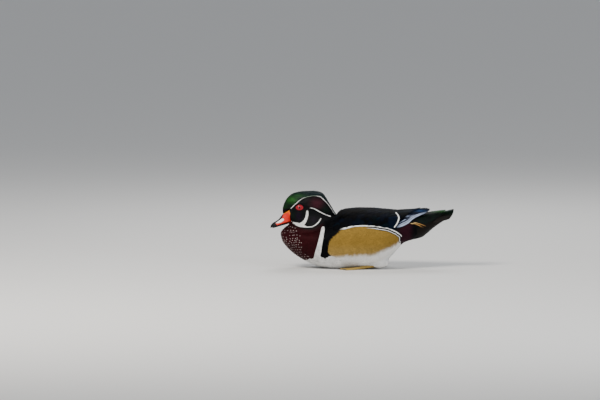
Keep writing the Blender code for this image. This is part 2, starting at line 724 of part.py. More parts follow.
def build_bill():
    upper = form_solid("bill_upper", UPPER_FORM, UPPER_RINGS, UPPER_COLUMNS, "bill_red")
    lower = form_solid("bill_lower", LOWER_FORM, LOWER_RINGS, LOWER_COLUMNS, "bill_dark")
    nostrils = [
        ellipsoid("cut", mirrored(NOSTRIL_CENTRE, sign), NOSTRIL_HALF, None, 0.0, True, NOSTRIL_SEGMENTS)
        for _, sign in SIDES
    ]
    apply_boolean(upper, "DIFFERENCE", nostrils + [head_cutter(), crest_cutter()])
    apply_boolean(lower, "DIFFERENCE", [head_cutter()])


def swollen(full):
    """The lift of a shell that is thin at both edges and full between them."""
    return lambda y, share: EDGE_LIFT + (full(y) - VANE_ROOM - EDGE_LIFT) * swell(share)


def build_flanks():
    low, high, full = curves(FLANK)
    lift = swollen(full)
    ys = between(FLANK, SHELL_SPACING)
    for side, sign in SIDES:
        name = "flank_" + side
        flank = shell(name, ys, low(ys), high(ys), lift, FLANK_COLUMNS, "flank_buff", sign)
        vanes = tier_vanes((low, high, lift), sign, FLANK_TIERS)
        apply_boolean(flank, "UNION", vanes, "MANIFOLD")


def build_plumes():
    low, high, full = curves(PLUMES)
    lift = swollen(full)
    ys = between(PLUMES, PLUME_SPACING)
    for side, sign in SIDES:
        name = "side_plumes_" + side
        plumes = shell(name, ys, low(ys), high(ys), lift, PLUME_COLUMNS, "plume_orange", sign)
        vanes = tier_vanes((low, high, lift), sign, PLUME_TIERS, POINTED)
        apply_boolean(plumes, "UNION", vanes, "MANIFOLD")


def build_wings():
    low, high, low_lift, high_lift = curves(WING)
    ys = np.linspace(WING[0][0], WING_SHELL_END, WING_RINGS)

    def lift(y, share):
        return low_lift(y) + (high_lift(y) - TIP_RISE - low_lift(y)) * share

    def under(y, share):
        free = np.clip((y - WING_FREE[0]) / (WING_FREE[1] - WING_FREE[0]), 0, 1)
        return INNER_LIFT + free * (lift(y, share) - WING_FREE_THICKNESS - INNER_LIFT)

    coat = (low, high, lift)
    for side, sign in SIDES:
        name = "wing_" + side
        wing = shell(name, ys, low(ys), high(ys), lift, WING_COLUMNS, "back_black", sign, under)
        vanes = tier_vanes(coat, sign, (*WING_TIERS, SECONDARY_TIER, TERTIAL_TIER))
        for share, tip_share, tip in PRIMARIES:
            length = tip - PRIMARY_ROOT
            vane = coat_vane(coat, sign, PRIMARY_ROOT, length, PRIMARY_WIDTH, share, BROAD, tip_share)
            vanes.append(vane)
        apply_boolean(wing, "UNION", vanes, "MANIFOLD")


def build_mantle():
    low, full = curves(MANTLE)
    ys = between(MANTLE, SHELL_SPACING)
    lift = swollen(full)
    mantle = shell("mantle", ys, low(ys), 180 - low(ys), lift, MANTLE_COLUMNS, "back_black")
    apply_boolean(mantle, "DIFFERENCE", [crest_cutter()])
    vanes = tier_vanes((low, lambda y: 180 - low(y), lift), 1.0, MANTLE_TIERS)
    apply_boolean(mantle, "UNION", vanes, "MANIFOLD")


def fan_point(share, t):
    """A place on the tail fan: share runs from 0 at the middle to 1 outermost, t from root to tip."""
    share, t = np.abs(share)[..., None], np.asarray(t)[..., None]
    root = np.array(TAIL_MIDDLE[0]) * (1 - share) + np.array(TAIL_OUTER[0]) * share
    bent = share ** TAIL_BEND
    tip = np.array(TAIL_MIDDLE[1]) * (1 - bent) + np.array(TAIL_OUTER[1]) * bent
    return root * (1 - t) + tip * t


def build_tail():
    tail = form_solid("tail", TRUNK_FORM, TAIL_RINGS, TAIL_COLUMNS, "tail_black")
    vanes = []
    t, widths = outline(TAIL_SHAPE)
    for place in range(TAIL_PAIRS):
        share = place / (TAIL_PAIRS - 1)
        centres = fan_point(np.full(len(t), share), t)
        width = np.interp(share, (0, 1), TAIL_FEATHER_WIDTHS)
        roll = np.interp(share, (0, 1), TAIL_ROLL)
        up = np.broadcast_to([0.0, 0.0, 1.0], centres.shape)
        for _, sign in SIDES:
            vanes.append(plank(mirrored(centres, sign), widths * width, up, -roll * sign))
    t, widths = outline(POINTED)
    for root, length, width, angles in COVERTS:
        for angle in angles:
            y = root + length * t
            centres = TRUNK_FORM.point(y, angle, np.interp(t, *outline(CREST_RISE)))
            vanes.append(plank(centres, widths * width, TRUNK_FORM.normal(y, angle)))
    apply_boolean(tail, "UNION", vanes, "MANIFOLD")


def tube(name, points, radii, material=None, sides=10, cutter=False):
    """A tapered round bar along points, closed at both ends."""
    points, radii = np.array(points, float), np.array(radii, float)
    ways = np.gradient(points, axis=0)
    ways /= np.linalg.norm(ways, axis=1, keepdims=True)
    up = np.array([0.0, 0.0, 1.0])
    across = np.cross(ways, up)
    across /= np.linalg.norm(across, axis=1, keepdims=True)
    rise = np.cross(across, ways)
    turn = np.radians(np.arange(sides) * 360.0 / sides)
    rings = points[:, None] + radii[:, None, None] * (
        across[:, None] * np.cos(turn)[None, :, None] + rise[:, None] * np.sin(turn)[None, :, None]
    )
    if not cutter:
        rings[..., 2] = np.maximum(rings[..., 2], FLOOR)
    return loft(name, rings, material, cutter)


def build_legs():
    for side, sign in SIDES:
        root = mirrored(TOE_ROOT, sign)
        heel = mirrored(HEEL, sign)
        tips = [mirrored((*tip, TOE_TIP_LEVEL), sign) for tip in TOE_TIPS]
        shank = [heel, (heel + root) / 2, root]
        foot = tube("foot_" + side, shank, TARSUS_RADII, "foot_yellow", SHANK_SIDES)
        pieces = []
        for tip in tips:
            way = (tip - root) / np.linalg.norm(tip - root)
            line = [root, (root + tip) / 2 - [0, 0, TOE_SAG], tip]
            pieces.append(tube("toe", line, TOE_RADII, "foot_yellow", TOE_SIDES))
            claw = [tip + way * reach + [0, 0, rise] for reach, rise in CLAW_LINE]
            pieces.append(tube("claw", claw, CLAW_RADII, "foot_yellow", CLAW_SIDES))
        hallux = mirrored(HALLUX_TIP, sign)
        line = [root, (root + hallux) / 2, hallux]
        pieces.append(tube("toe", line, HALLUX_RADII, "foot_yellow", TOE_SIDES))
        pieces.append(web(root, tips))
        apply_boolean(foot, "UNION", pieces)
        centre = mirrored(THIGH_CENTRE, sign)
        leg = ellipsoid("leg_" + side, centre, THIGH_HALF, "trunk_white", segments=THIGH_SEGMENTS)
        apply_boolean(leg, "DIFFERENCE", [trunk_cutter()] + foot_cutters(sign))


def web(root, tips):
    """The webs: flat sheets from the root out to a dipping edge between neighbouring toes."""
    fan = []
    for share in np.linspace(0, len(tips) - 1, WEB_COLUMNS):
        first = min(int(share), 1)
        t = share - first
        reach = tips[first] * (1 - t) + tips[first + 1] * t
        dip = 1 - (1 - WEB_DIP) * math.sin(math.pi * t)
        fan.append(root + (reach - root) * dip * WEB_REACH)
    fan = np.array(fan)
    start = root + (fan - root) * WEB_START
    lines = np.stack([start, (start + fan) / 2, fan])
    low, high = lines.copy(), lines.copy()
    low[..., 2] = WEB_UNDERSIDE
    high[..., 2] = WEB_UNDERSIDE + WEB_THICKNESS
    return sheet("web", low, high)


build_trunk()
build_head()
build_eyes()
build_crest()
build_neck()
build_bill()
build_flanks()
build_plumes()
build_wings()
build_mantle()
build_tail()
build_legs()
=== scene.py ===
import math

import bpy
import numpy as np
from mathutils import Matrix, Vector
from mathutils.bvhtree import BVHTree


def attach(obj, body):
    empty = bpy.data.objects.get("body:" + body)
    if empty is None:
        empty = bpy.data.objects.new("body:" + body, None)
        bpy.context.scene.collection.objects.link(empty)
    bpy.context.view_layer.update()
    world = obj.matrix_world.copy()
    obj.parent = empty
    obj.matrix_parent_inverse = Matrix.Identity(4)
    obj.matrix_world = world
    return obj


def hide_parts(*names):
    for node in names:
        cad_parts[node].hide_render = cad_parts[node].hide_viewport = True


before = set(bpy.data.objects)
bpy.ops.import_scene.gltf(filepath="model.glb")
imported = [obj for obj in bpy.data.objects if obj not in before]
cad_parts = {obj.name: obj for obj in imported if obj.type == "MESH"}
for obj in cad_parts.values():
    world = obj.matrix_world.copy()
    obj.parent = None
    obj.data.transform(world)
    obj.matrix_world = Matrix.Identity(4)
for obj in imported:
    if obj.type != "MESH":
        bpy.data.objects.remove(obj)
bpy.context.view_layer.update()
dice = np.random.default_rng(17)
sparse = 1.0
sides = (("left", 1.0), ("right", -1.0))
print("frame loaded")

# Everything is in metres. The bird faces -Y, its left side is +X, the floor is z = 0.

# Colours, linear
ink = {
    "black": (0.0012, 0.0014, 0.002),
    "white": (0.86, 0.85, 0.83),
    "spot": (0.68, 0.56, 0.54),
    "cheek": (0.0016, 0.0019, 0.0027),
    "violet": (0.0095, 0.0024, 0.013),
    "bottle": (0.002, 0.0085, 0.005),
    "green": (0.012, 0.072, 0.0105),
    "teal": (0.0011, 0.01, 0.0125),
    "plum": (0.043, 0.0075, 0.014),
    "maroon": (0.027, 0.0034, 0.0048),
    "maroonDeep": (0.011, 0.0018, 0.0027),
    "buff": (0.27, 0.16, 0.029),
    "buffPale": (0.42, 0.285, 0.09),
    "umber": (0.005, 0.0033, 0.0025),
    "navy": (0.0014, 0.0034, 0.011),
    "bronze": (0.005, 0.004, 0.0028),
    "silver": (0.49, 0.56, 0.76),
    "blue": (0.01, 0.042, 0.13),
    "rump": (0.019, 0.003, 0.0075),
    "orange": (0.52, 0.27, 0.08),
    "straw": (0.66, 0.47, 0.2),
    "linePale": (0.15, 0.23, 0.15),
    "billRed": (0.58, 0.013, 0.0028),
    "billOrange": (0.78, 0.085, 0.003),
    "billYellow": (0.9, 0.42, 0.025),
    "billWhite": (0.9, 0.86, 0.84),
    "billPink": (0.6, 0.026, 0.018),
    "billDark": (0.1, 0.006, 0.006),
    "iris": (0.3, 0.0012, 0.01),
    "irisEdge": (0.19, 0.0012, 0.004),
    "pupil": (0.004, 0.001, 0.001),
    "lid": (0.3, 0.006, 0.017),
    "lidPink": (0.44, 0.026, 0.029),
    "foot": (0.36, 0.23, 0.045),
    "web": (0.1, 0.068, 0.03),
    "claw": (0.025, 0.019, 0.014),
}
ink = {name: np.array(value) for name, value in ink.items()}


# Numbers and curves

def unit(v):
    return v / (np.linalg.norm(v, axis=-1, keepdims=True) + 1e-12)


def step(low, high, v):
    t = np.clip((v - low) / (high - low), 0, 1)
    return t * t * (3 - 2 * t)


def mix(a, b, share):
    return a + (b - a) * share


def layered(base, *layers):
    # an ink or rows of colour, with each named ink laid over it by its share
    colour = ink[base] if isinstance(base, str) else base
    for name, share in layers:
        colour = mix(colour, ink[name], np.asarray(share)[..., None])
    return colour


def smoothCurve(places, values):
    # monotone cubic through the values, held level past both ends
    steps = np.diff(places)
    rises = np.diff(values) / steps
    before, after = rises[:-1], rises[1:]
    sameWay = before * after > 0
    mean = 2 * before * after / np.where(sameWay, before + after, 1.0)
    slopes = np.concatenate([rises[:1], np.where(sameWay, mean, 0.0), rises[-1:]])

    def at(x):
        x = np.clip(np.asarray(x, float), places[0], places[-1])
        i = np.clip(np.searchsorted(places, x) - 1, 0, len(steps) - 1)
        t = (x - places[i]) / steps[i]
        start = values[i] * (1 + 2 * t) * (1 - t) ** 2 + steps[i] * slopes[i] * t * (1 - t) ** 2
        end = values[i + 1] * t * t * (3 - 2 * t) + steps[i] * slopes[i + 1] * t * t * (t - 1)
        return start + end

    return at


def curves(table):
    columns = np.array(table).T
    return [smoothCurve(columns[0], column) for column in columns[1:]]


class Form:
    # a body form along y; round it 0 degrees is the left side, 90 the top, -90 the underside
    def __init__(self, stations, powers=(0.92, 0.95, 0.95)):
        stations = sorted(stations)
        self.first, self.last = stations[0][0], stations[-1][0]
        self.top, self.under, self.half, self.level = curves(stations)
        self.sidePower, self.topPower, self.underPower = powers

    def skin(self, y, angle):
        # x = half cos^sidePower with the sign of cos; z = level + (top - level) sin^topPower above the level
        # and level - (level - under) |sin|^underPower below it
        y = np.clip(y, self.first, self.last)
        turn = np.radians(angle)
        across, rise = np.cos(turn), np.sin(turn)
        level = self.level(y)
        up = (self.top(y) - level) * np.maximum(rise, 0) ** self.topPower
        down = (level - self.under(y)) * np.maximum(-rise, 0) ** self.underPower
        x = self.half(y) * np.sign(across) * np.abs(across) ** self.sidePower
        return np.stack(np.broadcast_arrays(x, y, level + up - down), axis=-1)

    def normal(self, y, angle, nearY=0.0004, nearAngle=0.5):
        along = self.skin(y + nearY, angle) - self.skin(y - nearY, angle)
        around = self.skin(y, angle + nearAngle) - self.skin(y, angle - nearAngle)
        return unit(np.cross(along, around))

    def point(self, y, angle, lift=0.0):
        # the skin plus the lift times its normal
        return self.skin(y, angle) + self.normal(y, angle) * np.asarray(lift)[..., None]

    def rings(self, y, columns, lift=0.0):
        return self.point(y[:, None], np.arange(columns) * 360.0 / columns, lift)

    def angleAt(self, y, height):
        level = self.level(y)
        up = np.clip((height - level) / (self.top(y) - level), 0, 1) ** (1 / self.topPower)
        down = np.clip((level - height) / (level - self.under(y)), 0, 1) ** (1 / self.underPower)
        return np.degrees(np.arcsin(up) - np.arcsin(down))


def lineDistance(line, y, z):
    # distance in the side view from each (y, z) to a run of straight pieces, less the line's half width
    best = np.full(np.shape(y), 9.0)
    rows = [(*row, 0.0)[:3] for row in line]
    for (y0, z0, w0), (y1, z1, w1) in zip(rows[:-1], rows[1:]):
        dy, dz = y1 - y0, z1 - z0
        t = np.clip(((y - y0) * dy + (z - z0) * dz) / (dy * dy + dz * dz), 0, 1)
        best = np.minimum(best, np.hypot(y - y0 - t * dy, z - z0 - t * dz) - mix(w0, w1, t))
    return best


def heightOn(line, y):
    rows = np.array(sorted(line)).T
    return np.interp(y, rows[0], rows[1])


def patch(p, y, z, reachY, reachZ):
    # a soft round patch in the side view
    return np.exp(-((p[:, 1] - y) / reachY) ** 2 - ((p[:, 2] - z) / reachZ) ** 2)


def patches(p, *rows):
    # layers of ink from rows of ink, strength, y, z and the reach along each
    return [(name, np.minimum(strength * patch(p, *place), 1)) for name, strength, *place in rows]


def featherChance(number, salt=0.0):
    # a steady random share for each numbered feather: the fraction of 43758.5 sin(12.99 n + 78.2)
    value = np.sin(number * 12.9898 + 78.233 + salt) * 43758.5453
    return value - np.floor(value)


# Body forms: y, top, underside, half width, height of the widest level
trunk = Form((
    (-0.1645, 0.0715, 0.0665, 0.004, 0.069),
    (-0.161, 0.077, 0.055, 0.02, 0.068),
    (-0.15, 0.0795, 0.0405, 0.033, 0.066),
    (-0.135, 0.0795, 0.0275, 0.043, 0.064),
    (-0.11, 0.0795, 0.0125, 0.054, 0.062),
    (-0.09, 0.0835, 0.0045, 0.0595, 0.061),
    (-0.078, 0.0895, 0.0015, 0.062, 0.0605),
    (-0.062, 0.101, -0.001, 0.064, 0.06),
    (-0.048, 0.1095, -0.0018, 0.0655, 0.06),
    (-0.03, 0.1155, -0.0022, 0.0665, 0.06),
    (0.0, 0.1185, -0.0018, 0.067, 0.0605),
    (0.025, 0.118, 0.001, 0.0655, 0.0625),
    (0.04, 0.1165, 0.008, 0.063, 0.065),
    (0.055, 0.115, 0.021, 0.058, 0.069),
    (0.07, 0.1138, 0.0375, 0.0525, 0.074),
    (0.084, 0.1132, 0.052, 0.046, 0.079),
    (0.1, 0.1128, 0.0575, 0.038, 0.083),
    (0.118, 0.112, 0.062, 0.03, 0.088),
    (0.132, 0.1115, 0.072, 0.023, 0.093),
    (0.142, 0.112, 0.0805, 0.0175, 0.097),
    (0.152, 0.1135, 0.0882, 0.013, 0.102),
    (0.162, 0.1145, 0.095, 0.009, 0.106),
    (0.17, 0.115, 0.1005, 0.005, 0.109),
))
headForm = Form((
    (-0.1614, 0.12, 0.1105, 0.003, 0.115),
    (-0.16, 0.1265, 0.11, 0.0062, 0.1175),
    (-0.1565, 0.134, 0.1118, 0.0092, 0.121),
    (-0.152, 0.1395, 0.1145, 0.0116, 0.124),
    (-0.1482, 0.1425, 0.1175, 0.0132, 0.125),
    (-0.1472, 0.1432, 0.103, 0.0137, 0.119),
    (-0.1458, 0.1441, 0.094, 0.0141, 0.115),
    (-0.1425, 0.1458, 0.0922, 0.0152, 0.114),
    (-0.135, 0.1482, 0.0875, 0.0176, 0.1115),
    (-0.125, 0.1508, 0.0848, 0.0195, 0.1105),
    (-0.11, 0.152, 0.0828, 0.0212, 0.11),
    (-0.095, 0.1505, 0.0842, 0.0212, 0.11),
    (-0.082, 0.144, 0.0895, 0.0195, 0.111),
    (-0.072, 0.132, 0.096, 0.015, 0.1115),
    (-0.064, 0.12, 0.104, 0.008, 0.112),
))
crestForm = Form((
    (-0.1594, 0.1315, 0.1255, 0.0045, 0.1285),
    (-0.156, 0.1372, 0.1225, 0.0095, 0.129),
    (-0.15, 0.144, 0.12, 0.013, 0.129),
    (-0.137, 0.152, 0.112, 0.018, 0.127),
    (-0.118, 0.1554, 0.106, 0.0212, 0.125),
    (-0.098, 0.1558, 0.101, 0.0228, 0.1225),
    (-0.085, 0.1537, 0.099, 0.0222, 0.12),
    (-0.079, 0.1497, 0.099, 0.0208, 0.1185),
    (-0.074, 0.1428, 0.0993, 0.019, 0.117),
    (-0.068, 0.1326, 0.1005, 0.0158, 0.114),
    (-0.06, 0.1193, 0.103, 0.0105, 0.11),
    (-0.0535, 0.1088, 0.106, 0.003, 0.1074),
))
upperForm = Form((
    (-0.14, 0.125, 0.0958, 0.0124, 0.099),
    (-0.145, 0.129, 0.0946, 0.013, 0.0975),
    (-0.15, 0.1205, 0.0931, 0.0119, 0.0955),
    (-0.155, 0.115, 0.0916, 0.0109, 0.0936),
    (-0.16, 0.11, 0.09, 0.0101, 0.0918),
    (-0.165, 0.104, 0.0885, 0.0095, 0.09),
    (-0.17, 0.098, 0.0868, 0.0089, 0.0883),
    (-0.1745, 0.0949, 0.0853, 0.0083, 0.0867),
    (-0.1785, 0.0925, 0.0838, 0.0073, 0.0851),
    (-0.183, 0.089, 0.082, 0.0053, 0.0834),
    (-0.1858, 0.0853, 0.08, 0.0022, 0.082),
), (0.85, 1.0, 1.0))
lowerForm = Form((
    (-0.136, 0.0978, 0.0935, 0.008, 0.0968),
    (-0.145, 0.0948, 0.0908, 0.0086, 0.094),
    (-0.157, 0.0908, 0.0872, 0.0084, 0.09),
    (-0.165, 0.0882, 0.085, 0.0079, 0.0875),
    (-0.172, 0.0858, 0.0829, 0.0073, 0.0851),
    (-0.178, 0.0836, 0.0812, 0.0062, 0.083),
    (-0.1822, 0.0819, 0.0803, 0.0036, 0.0813),
), (0.85, 1.0, 1.0))
# The neck is a column: height, its front and back along y, half width
neckTable = (
    (0.064, -0.156, -0.06, 0.041),
    (0.076, -0.1602, -0.05, 0.0385),
    (0.086, -0.1515, -0.045, 0.035),
    (0.096, -0.143, -0.048, 0.03),
    (0.106, -0.133, -0.054, 0.023),
    (0.114, -0.12, -0.066, 0.012),
)
# Plumage regions on the trunk: y, lower and upper angle, lift of the outer face
flankTable = (
    (-0.0655, -22.0, 12.0, 0.0024),
    (-0.055, -28.0, 20.5, 0.0034),
    (-0.044, -34.0, 25.0, 0.004),
    (-0.017, -40.0, 29.5, 0.0044),
    (0.0, -42.0, 29.8, 0.0044),
    (0.024, -43.0, 27.6, 0.0042),
    (0.051, -46.0, 19.5, 0.0038),
    (0.068, -48.0, 5.0, 0.0032),
    (0.0785, -44.0, -14.0, 0.0024),
)
plumeTable = (
    (0.0805, -40.0, 11.0, 0.0022),
    (0.085, -44.0, 14.0, 0.003),
    (0.092, -48.0, 18.0, 0.0034),
    (0.1, -44.0, 18.5, 0.0034),
    (0.11, -30.0, 12.0, 0.003),
    (0.12, -21.0, 0.0, 0.0026),
    (0.127, -17.0, -7.0, 0.002),
)
wingTable = (
    (-0.049, 29.0, 49.0, 0.0016, 0.0016),
    (-0.04, 28.5, 52.5, 0.002, 0.003),
    (-0.017, 31.6, 55.2, 0.002, 0.0035),
    (0.0, 31.8, 56.0, 0.002, 0.0036),
    (0.024, 30.2, 55.8, 0.002, 0.0038),
    (0.05, 23.0, 57.8, 0.002, 0.0042),
    (0.0705, 16.5, 66.0, 0.002, 0.005),
    (0.08, 17.5, 76.0, 0.0022, 0.006),
    (0.0886, 21.0, 84.0, 0.0025, 0.0066),
    (0.0962, 32.0, 87.0, 0.003, 0.0072),
    (0.108, 44.0, 87.5, 0.0035, 0.0085),
    (0.1167, 49.0, 87.5, 0.004, 0.0098),
    (0.1254, 52.0, 87.0, 0.004, 0.0104),
    (0.1366, 58.0, 80.0, 0.0045, 0.01),
)
mantleTable = (
    (-0.051, 53.5, 0.0013),
    (-0.042, 55.0, 0.0058),
    (-0.03, 57.0, 0.0055),
    (0.0, 58.4, 0.0044),
    (0.03, 58.1, 0.0043),
    (0.05, 60.5, 0.0046),
    (0.0705, 69.5, 0.0044),
    (0.08, 79.5, 0.0044),
    (0.086, 85.0, 0.003),
)
flankLow, flankHigh, flankFull = curves(flankTable)
plumeLow, plumeHigh, plumeFull = curves(plumeTable)
wingLow, wingHigh, wingLowLift, wingHighLift = curves(wingTable)
mantleLow, mantleFull = curves(mantleTable)
# the lid lies round its own middle and keeps small feathers off an oval of the cover's reach along y and z
eye = {"centre": np.array((0.0143, -0.1272, 0.1236)), "radius": 0.0066, "lid": (0.0163, -0.1272, 0.1239),
       "cover": (0.0078, 0.0062)}

# Markings of the left side as seen square on: (y, z)
browLine = ((-0.1452, 0.1208, 0.0004), (-0.1361, 0.1303, 0.00055), (-0.1262, 0.139, 0.0005),
            (-0.1193, 0.143, 0.0003), (-0.1104, 0.146, 0.00022), (-0.1016, 0.1476, 0.00022),
            (-0.0928, 0.1474, 0.0003), (-0.0871, 0.1463, 0.0005), (-0.084, 0.1454, 0.0006),
            (-0.077, 0.1391, 0.0006), (-0.0717, 0.1331, 0.0006), (-0.0664, 0.1263, 0.0006),
            (-0.062, 0.12, 0.0005), (-0.0593, 0.115, 0.0005), (-0.0545, 0.1085, 0.0003))
crestLine = ((-0.1065, 0.1235, 0.0003), (-0.101, 0.123, 0.0007), (-0.0958, 0.1213, 0.0009),
             (-0.0883, 0.1169, 0.0008), (-0.0779, 0.1112, 0.0009), (-0.0692, 0.1066, 0.0011),
             (-0.064, 0.1046, 0.0009))
cheekProng = ((-0.1114, 0.116, 0.002), (-0.1115, 0.1106, 0.0024), (-0.1129, 0.1038, 0.0024),
              (-0.1154, 0.0979, 0.0028), (-0.1193, 0.0929, 0.0034), (-0.1242, 0.0899, 0.0038))
bridle = ((-0.1436, 0.0953, 0.0006), (-0.14, 0.0929, 0.0014), (-0.1361, 0.0914, 0.0024),
          (-0.1311, 0.0903, 0.003), (-0.125, 0.0889, 0.0033), (-0.119, 0.0874, 0.0022),
          (-0.1114, 0.0856, 0.0008), (-0.1016, 0.0864, 0.0008), (-0.0947, 0.0897, 0.0009),
          (-0.0888, 0.0948, 0.001), (-0.0853, 0.0995, 0.001), (-0.0838, 0.1022, 0.0008))
crescent = ((0.0682, 0.1138), (0.0714, 0.1109), (0.0732, 0.1074), (0.0738, 0.1049), (0.0727, 0.1005),
            (0.0709, 0.0962), (0.0682, 0.0918), (0.0646, 0.0878))
# Lower edge of the head's own feathers
headEdge = ((-0.1614, 0.109), (-0.146, 0.0935), (-0.142, 0.0895), (-0.136, 0.086), (-0.126, 0.0828),
            (-0.116, 0.0812), (-0.1065, 0.0812), (-0.097, 0.0828), (-0.09, 0.0865), (-0.083, 0.0935),
            (-0.075, 0.0975), (-0.06, 0.101))
# The feathers' border against the bill: heights and places on the side of the face, then on the forehead
faceEdge = ((0.0945, 0.098, 0.102, 0.11, 0.119), (-0.144, -0.1456, -0.1463, -0.146, -0.1448))
browEdge = ((-0.1605, 0.1093), (-0.145, 0.1193))


# Shader wiring

class Wire:
    # a shader value; arithmetic on it adds Math nodes to its tree
    def __init__(self, tree, socket):
        self.tree, self.socket = tree, socket

    def node(self, kind, inputs, output=0, **settings):
        made = self.tree.nodes.new(kind)
        for key, value in settings.items():
            setattr(made, key, value)
        for key, value in inputs.items():
            if isinstance(value, Wire):
                self.tree.links.new(value.socket, made.inputs[key])
            else:
                made.inputs[key].default_value = value
        return Wire(self.tree, made.outputs[output])

    def math(self, operation, other=0.0, clamp=False):
        return self.node("ShaderNodeMath", {0: self, 1: other}, operation=operation, use_clamp=clamp)

    def __add__(self, other):
        return self.math("ADD", other)

    def __mul__(self, other):
        return self.math("MULTIPLY", other)

    def __sub__(self, other):
        return self.math("SUBTRACT", other)

    def __rsub__(self, other):
        return self.node("ShaderNodeMath", {0: other, 1: self}, operation="SUBTRACT")

    __radd__ = __add__
    __rmul__ = __mul__

    def clamp(self):
        return self.math("ADD", clamp=True)

    def ramp(self, low, high, toLow=0.0, toHigh=1.0):
        return self.node("ShaderNodeMapRange", {0: self, 1: low, 2: high, 3: toLow, 4: toHigh})

    def over(self, colour, name):
        # the named ink over a colour, by this share
        return self.node("ShaderNodeMix", {0: self, 6: colour, 7: (*ink[name], 1.0)}, 2, data_type="RGBA")

    def tint(self, colour):
        return self.node("ShaderNodeMix", {0: 1.0, 6: colour, 7: self}, 2, data_type="RGBA", blend_type="MULTIPLY")

    def noise(self, scale, detail=3.0):
        inputs = {"Vector": self, "Scale": scale, "Detail": detail, "Roughness": 0.55}
        return self.node("ShaderNodeTexNoise", inputs)

    def axis(self, index):
        return self.node("ShaderNodeSeparateXYZ", {0: self}, index)


class Material:
    # one Principled material; constants go straight on its sockets, wires are linked
    def __init__(self, name, **constants):
        self.material = bpy.data.materials.new(name)
        self.material.use_nodes = True
        self.tree = self.material.node_tree
        self.shader = self.tree.nodes["Principled BSDF"]
        for key, value in constants.items():
            self.shader.inputs[key.replace("_", " ")].default_value = value

    def source(self, kind, output=0, **settings):
        return Wire(self.tree, None).node(kind, {}, output, **settings)

    def value(self, name, output=2):
        return self.source("ShaderNodeAttribute", output, attribute_name=name)

    def link(self, **wires):
        for key, wire in wires.items():
            self.tree.links.new(wire.socket, self.shader.inputs[key.replace("_", " ")])

    def bump(self, height, strength, distance):
        self.link(Normal=height.node("ShaderNodeBump", {"Height": height, "Strength": strength, "Distance": distance}))


def barredColour(made, place, along, colour, pitch, wobble, wobbleScale, breakScale, low, high, depth):
    # fine wavy bars across the vane, as far as the mark attribute says: sin(2 pi (along + noise wobble) / pitch)
    wave = ((along + place.noise(wobbleScale, 2.0) * wobble) * (2 * math.pi / pitch)).math("SINE")
    broken = place.noise(breakScale, 1.0).ramp(0.35, 0.6)
    return (wave.ramp(low, high) * broken * made.value("mark") * depth).over(colour, "umber")


def stripedColour(place, pale, colour, begins, behind, front, rear, fine, black, edge=0.0002):
    # bands counted from the border: one broad white one in front, two fine ones behind, black between
    begins, behind = place.axis(1).ramp(*begins), place.axis(1).ramp(*behind)
    reach = pale + place.noise(300.0, 1.0).ramp(0.3, 0.7, -0.0003, 0.0003)
    first = behind * (rear[0] - front[0]) + front[0]
    last = behind * (rear[1] - front[1]) + begins * front[1]
    broad = (reach - first).ramp(-edge, edge) * (last - reach).ramp(-edge, edge) * begins
    fineBand = behind * reach.ramp(fine[0], fine[0] + 0.0003) * reach.ramp(fine[1], fine[1] - 0.0003)
    dark = last + begins * 0.0007 + behind * (black - rear[1])
    return (broad + fineBand).clamp(), (dark - reach).ramp(-edge, edge).over(colour, "black")


def featherMaterial(name, roughness, barb=0.00042, vary=0.22, specular=0.14, barring=None, wedge=None,
                    stripes=None, band=0.0):
    made = Material(name, Specular_IOR_Level=specular)
    place = made.source("ShaderNodeTexCoord", 3)
    vane = made.source("ShaderNodeUVMap", uv_map="vane")
    across, along = vane.axis(0).math("ABSOLUTE"), vane.axis(1)
    # barbs slant off the shaft: sin(2 pi (along + 0.9 |across|) / barb)
    barbs = ((along + across * 0.9) * (2 * math.pi / barb)).math("SINE") * 0.5 + 0.5
    shaft = across.ramp(0.0, 0.00028, 1.0, 0.0)
    clouds, fine = place.noise(95.0, 4.0), place.noise(900.0, 2.0)
    tone = clouds.ramp(0.3, 0.7, 1.0 - vary, 1.0 + vary) * fine.ramp(0.3, 0.7, 0.9, 1.1)
    tone = tone * barbs.ramp(0.0, 1.0, 0.84, 1.06) * (1 - shaft * 0.15)
    colour, pale = made.value("paint", 0), made.value("pale")
    white = pale.ramp(0.0003, -0.0003)
    if band:
        # the distance has a sign here, so a narrow band keeps its width on broad feathers
        shown = made.value("mark").ramp(0.3, 0.7)
        white = (pale.math("ABSOLUTE") - shown * band).ramp(0.0002, -0.0002) * shown.ramp(0.0, 0.2)
    if barring:
        colour = barredColour(made, place, along, colour, **barring)
    if stripes:
        white, colour = stripedColour(place, pale, colour, **stripes)
    if wedge:
        # a pale wedge at the tip of a marked feather: half width less reach from the tip
        shape = wedge["half"] - across - made.value("toTip") * (wedge["half"] / wedge["length"])
        colour = (shape.ramp(0.0, 0.00012) * made.value("mark")).over(colour, "spot")
    gloss = made.value("gloss") * (1 - white)
    rough = (gloss * -0.26 + roughness + clouds.ramp(0.3, 0.7, -0.05, 0.05)).clamp()
    made.link(Base_Color=tone.tint(white.over(colour, "white")), Metallic=gloss, Roughness=rough)
    made.bump(barbs * 0.35 + shaft * 1.2 + fine * 0.5, 0.55, 0.00012)
    return made.material


def paintedMaterial(name, roughness, scale, strength, distance, coat=0.0, vary=0.1, specular=0.5):
    # bare horn or skin, coloured by its paint attribute
    made = Material(name, Coat_Weight=coat, Coat_Roughness=0.12, Specular_IOR_Level=specular)
    cells = made.source("ShaderNodeTexCoord", 3).noise(scale, 4.0)
    made.link(Base_Color=cells.ramp(0.3, 0.7, 1.0 - vary, 1.0 + vary).tint(made.value("paint", 0)),
              Roughness=cells.ramp(0.3, 0.7, roughness - 0.06, roughness + 0.08))
    made.bump(cells, strength, distance)
    return made.material


# Mesh making

def addObject(name, data):
    made = bpy.data.objects.new(name, data)
    bpy.context.scene.collection.objects.link(made)
    return made


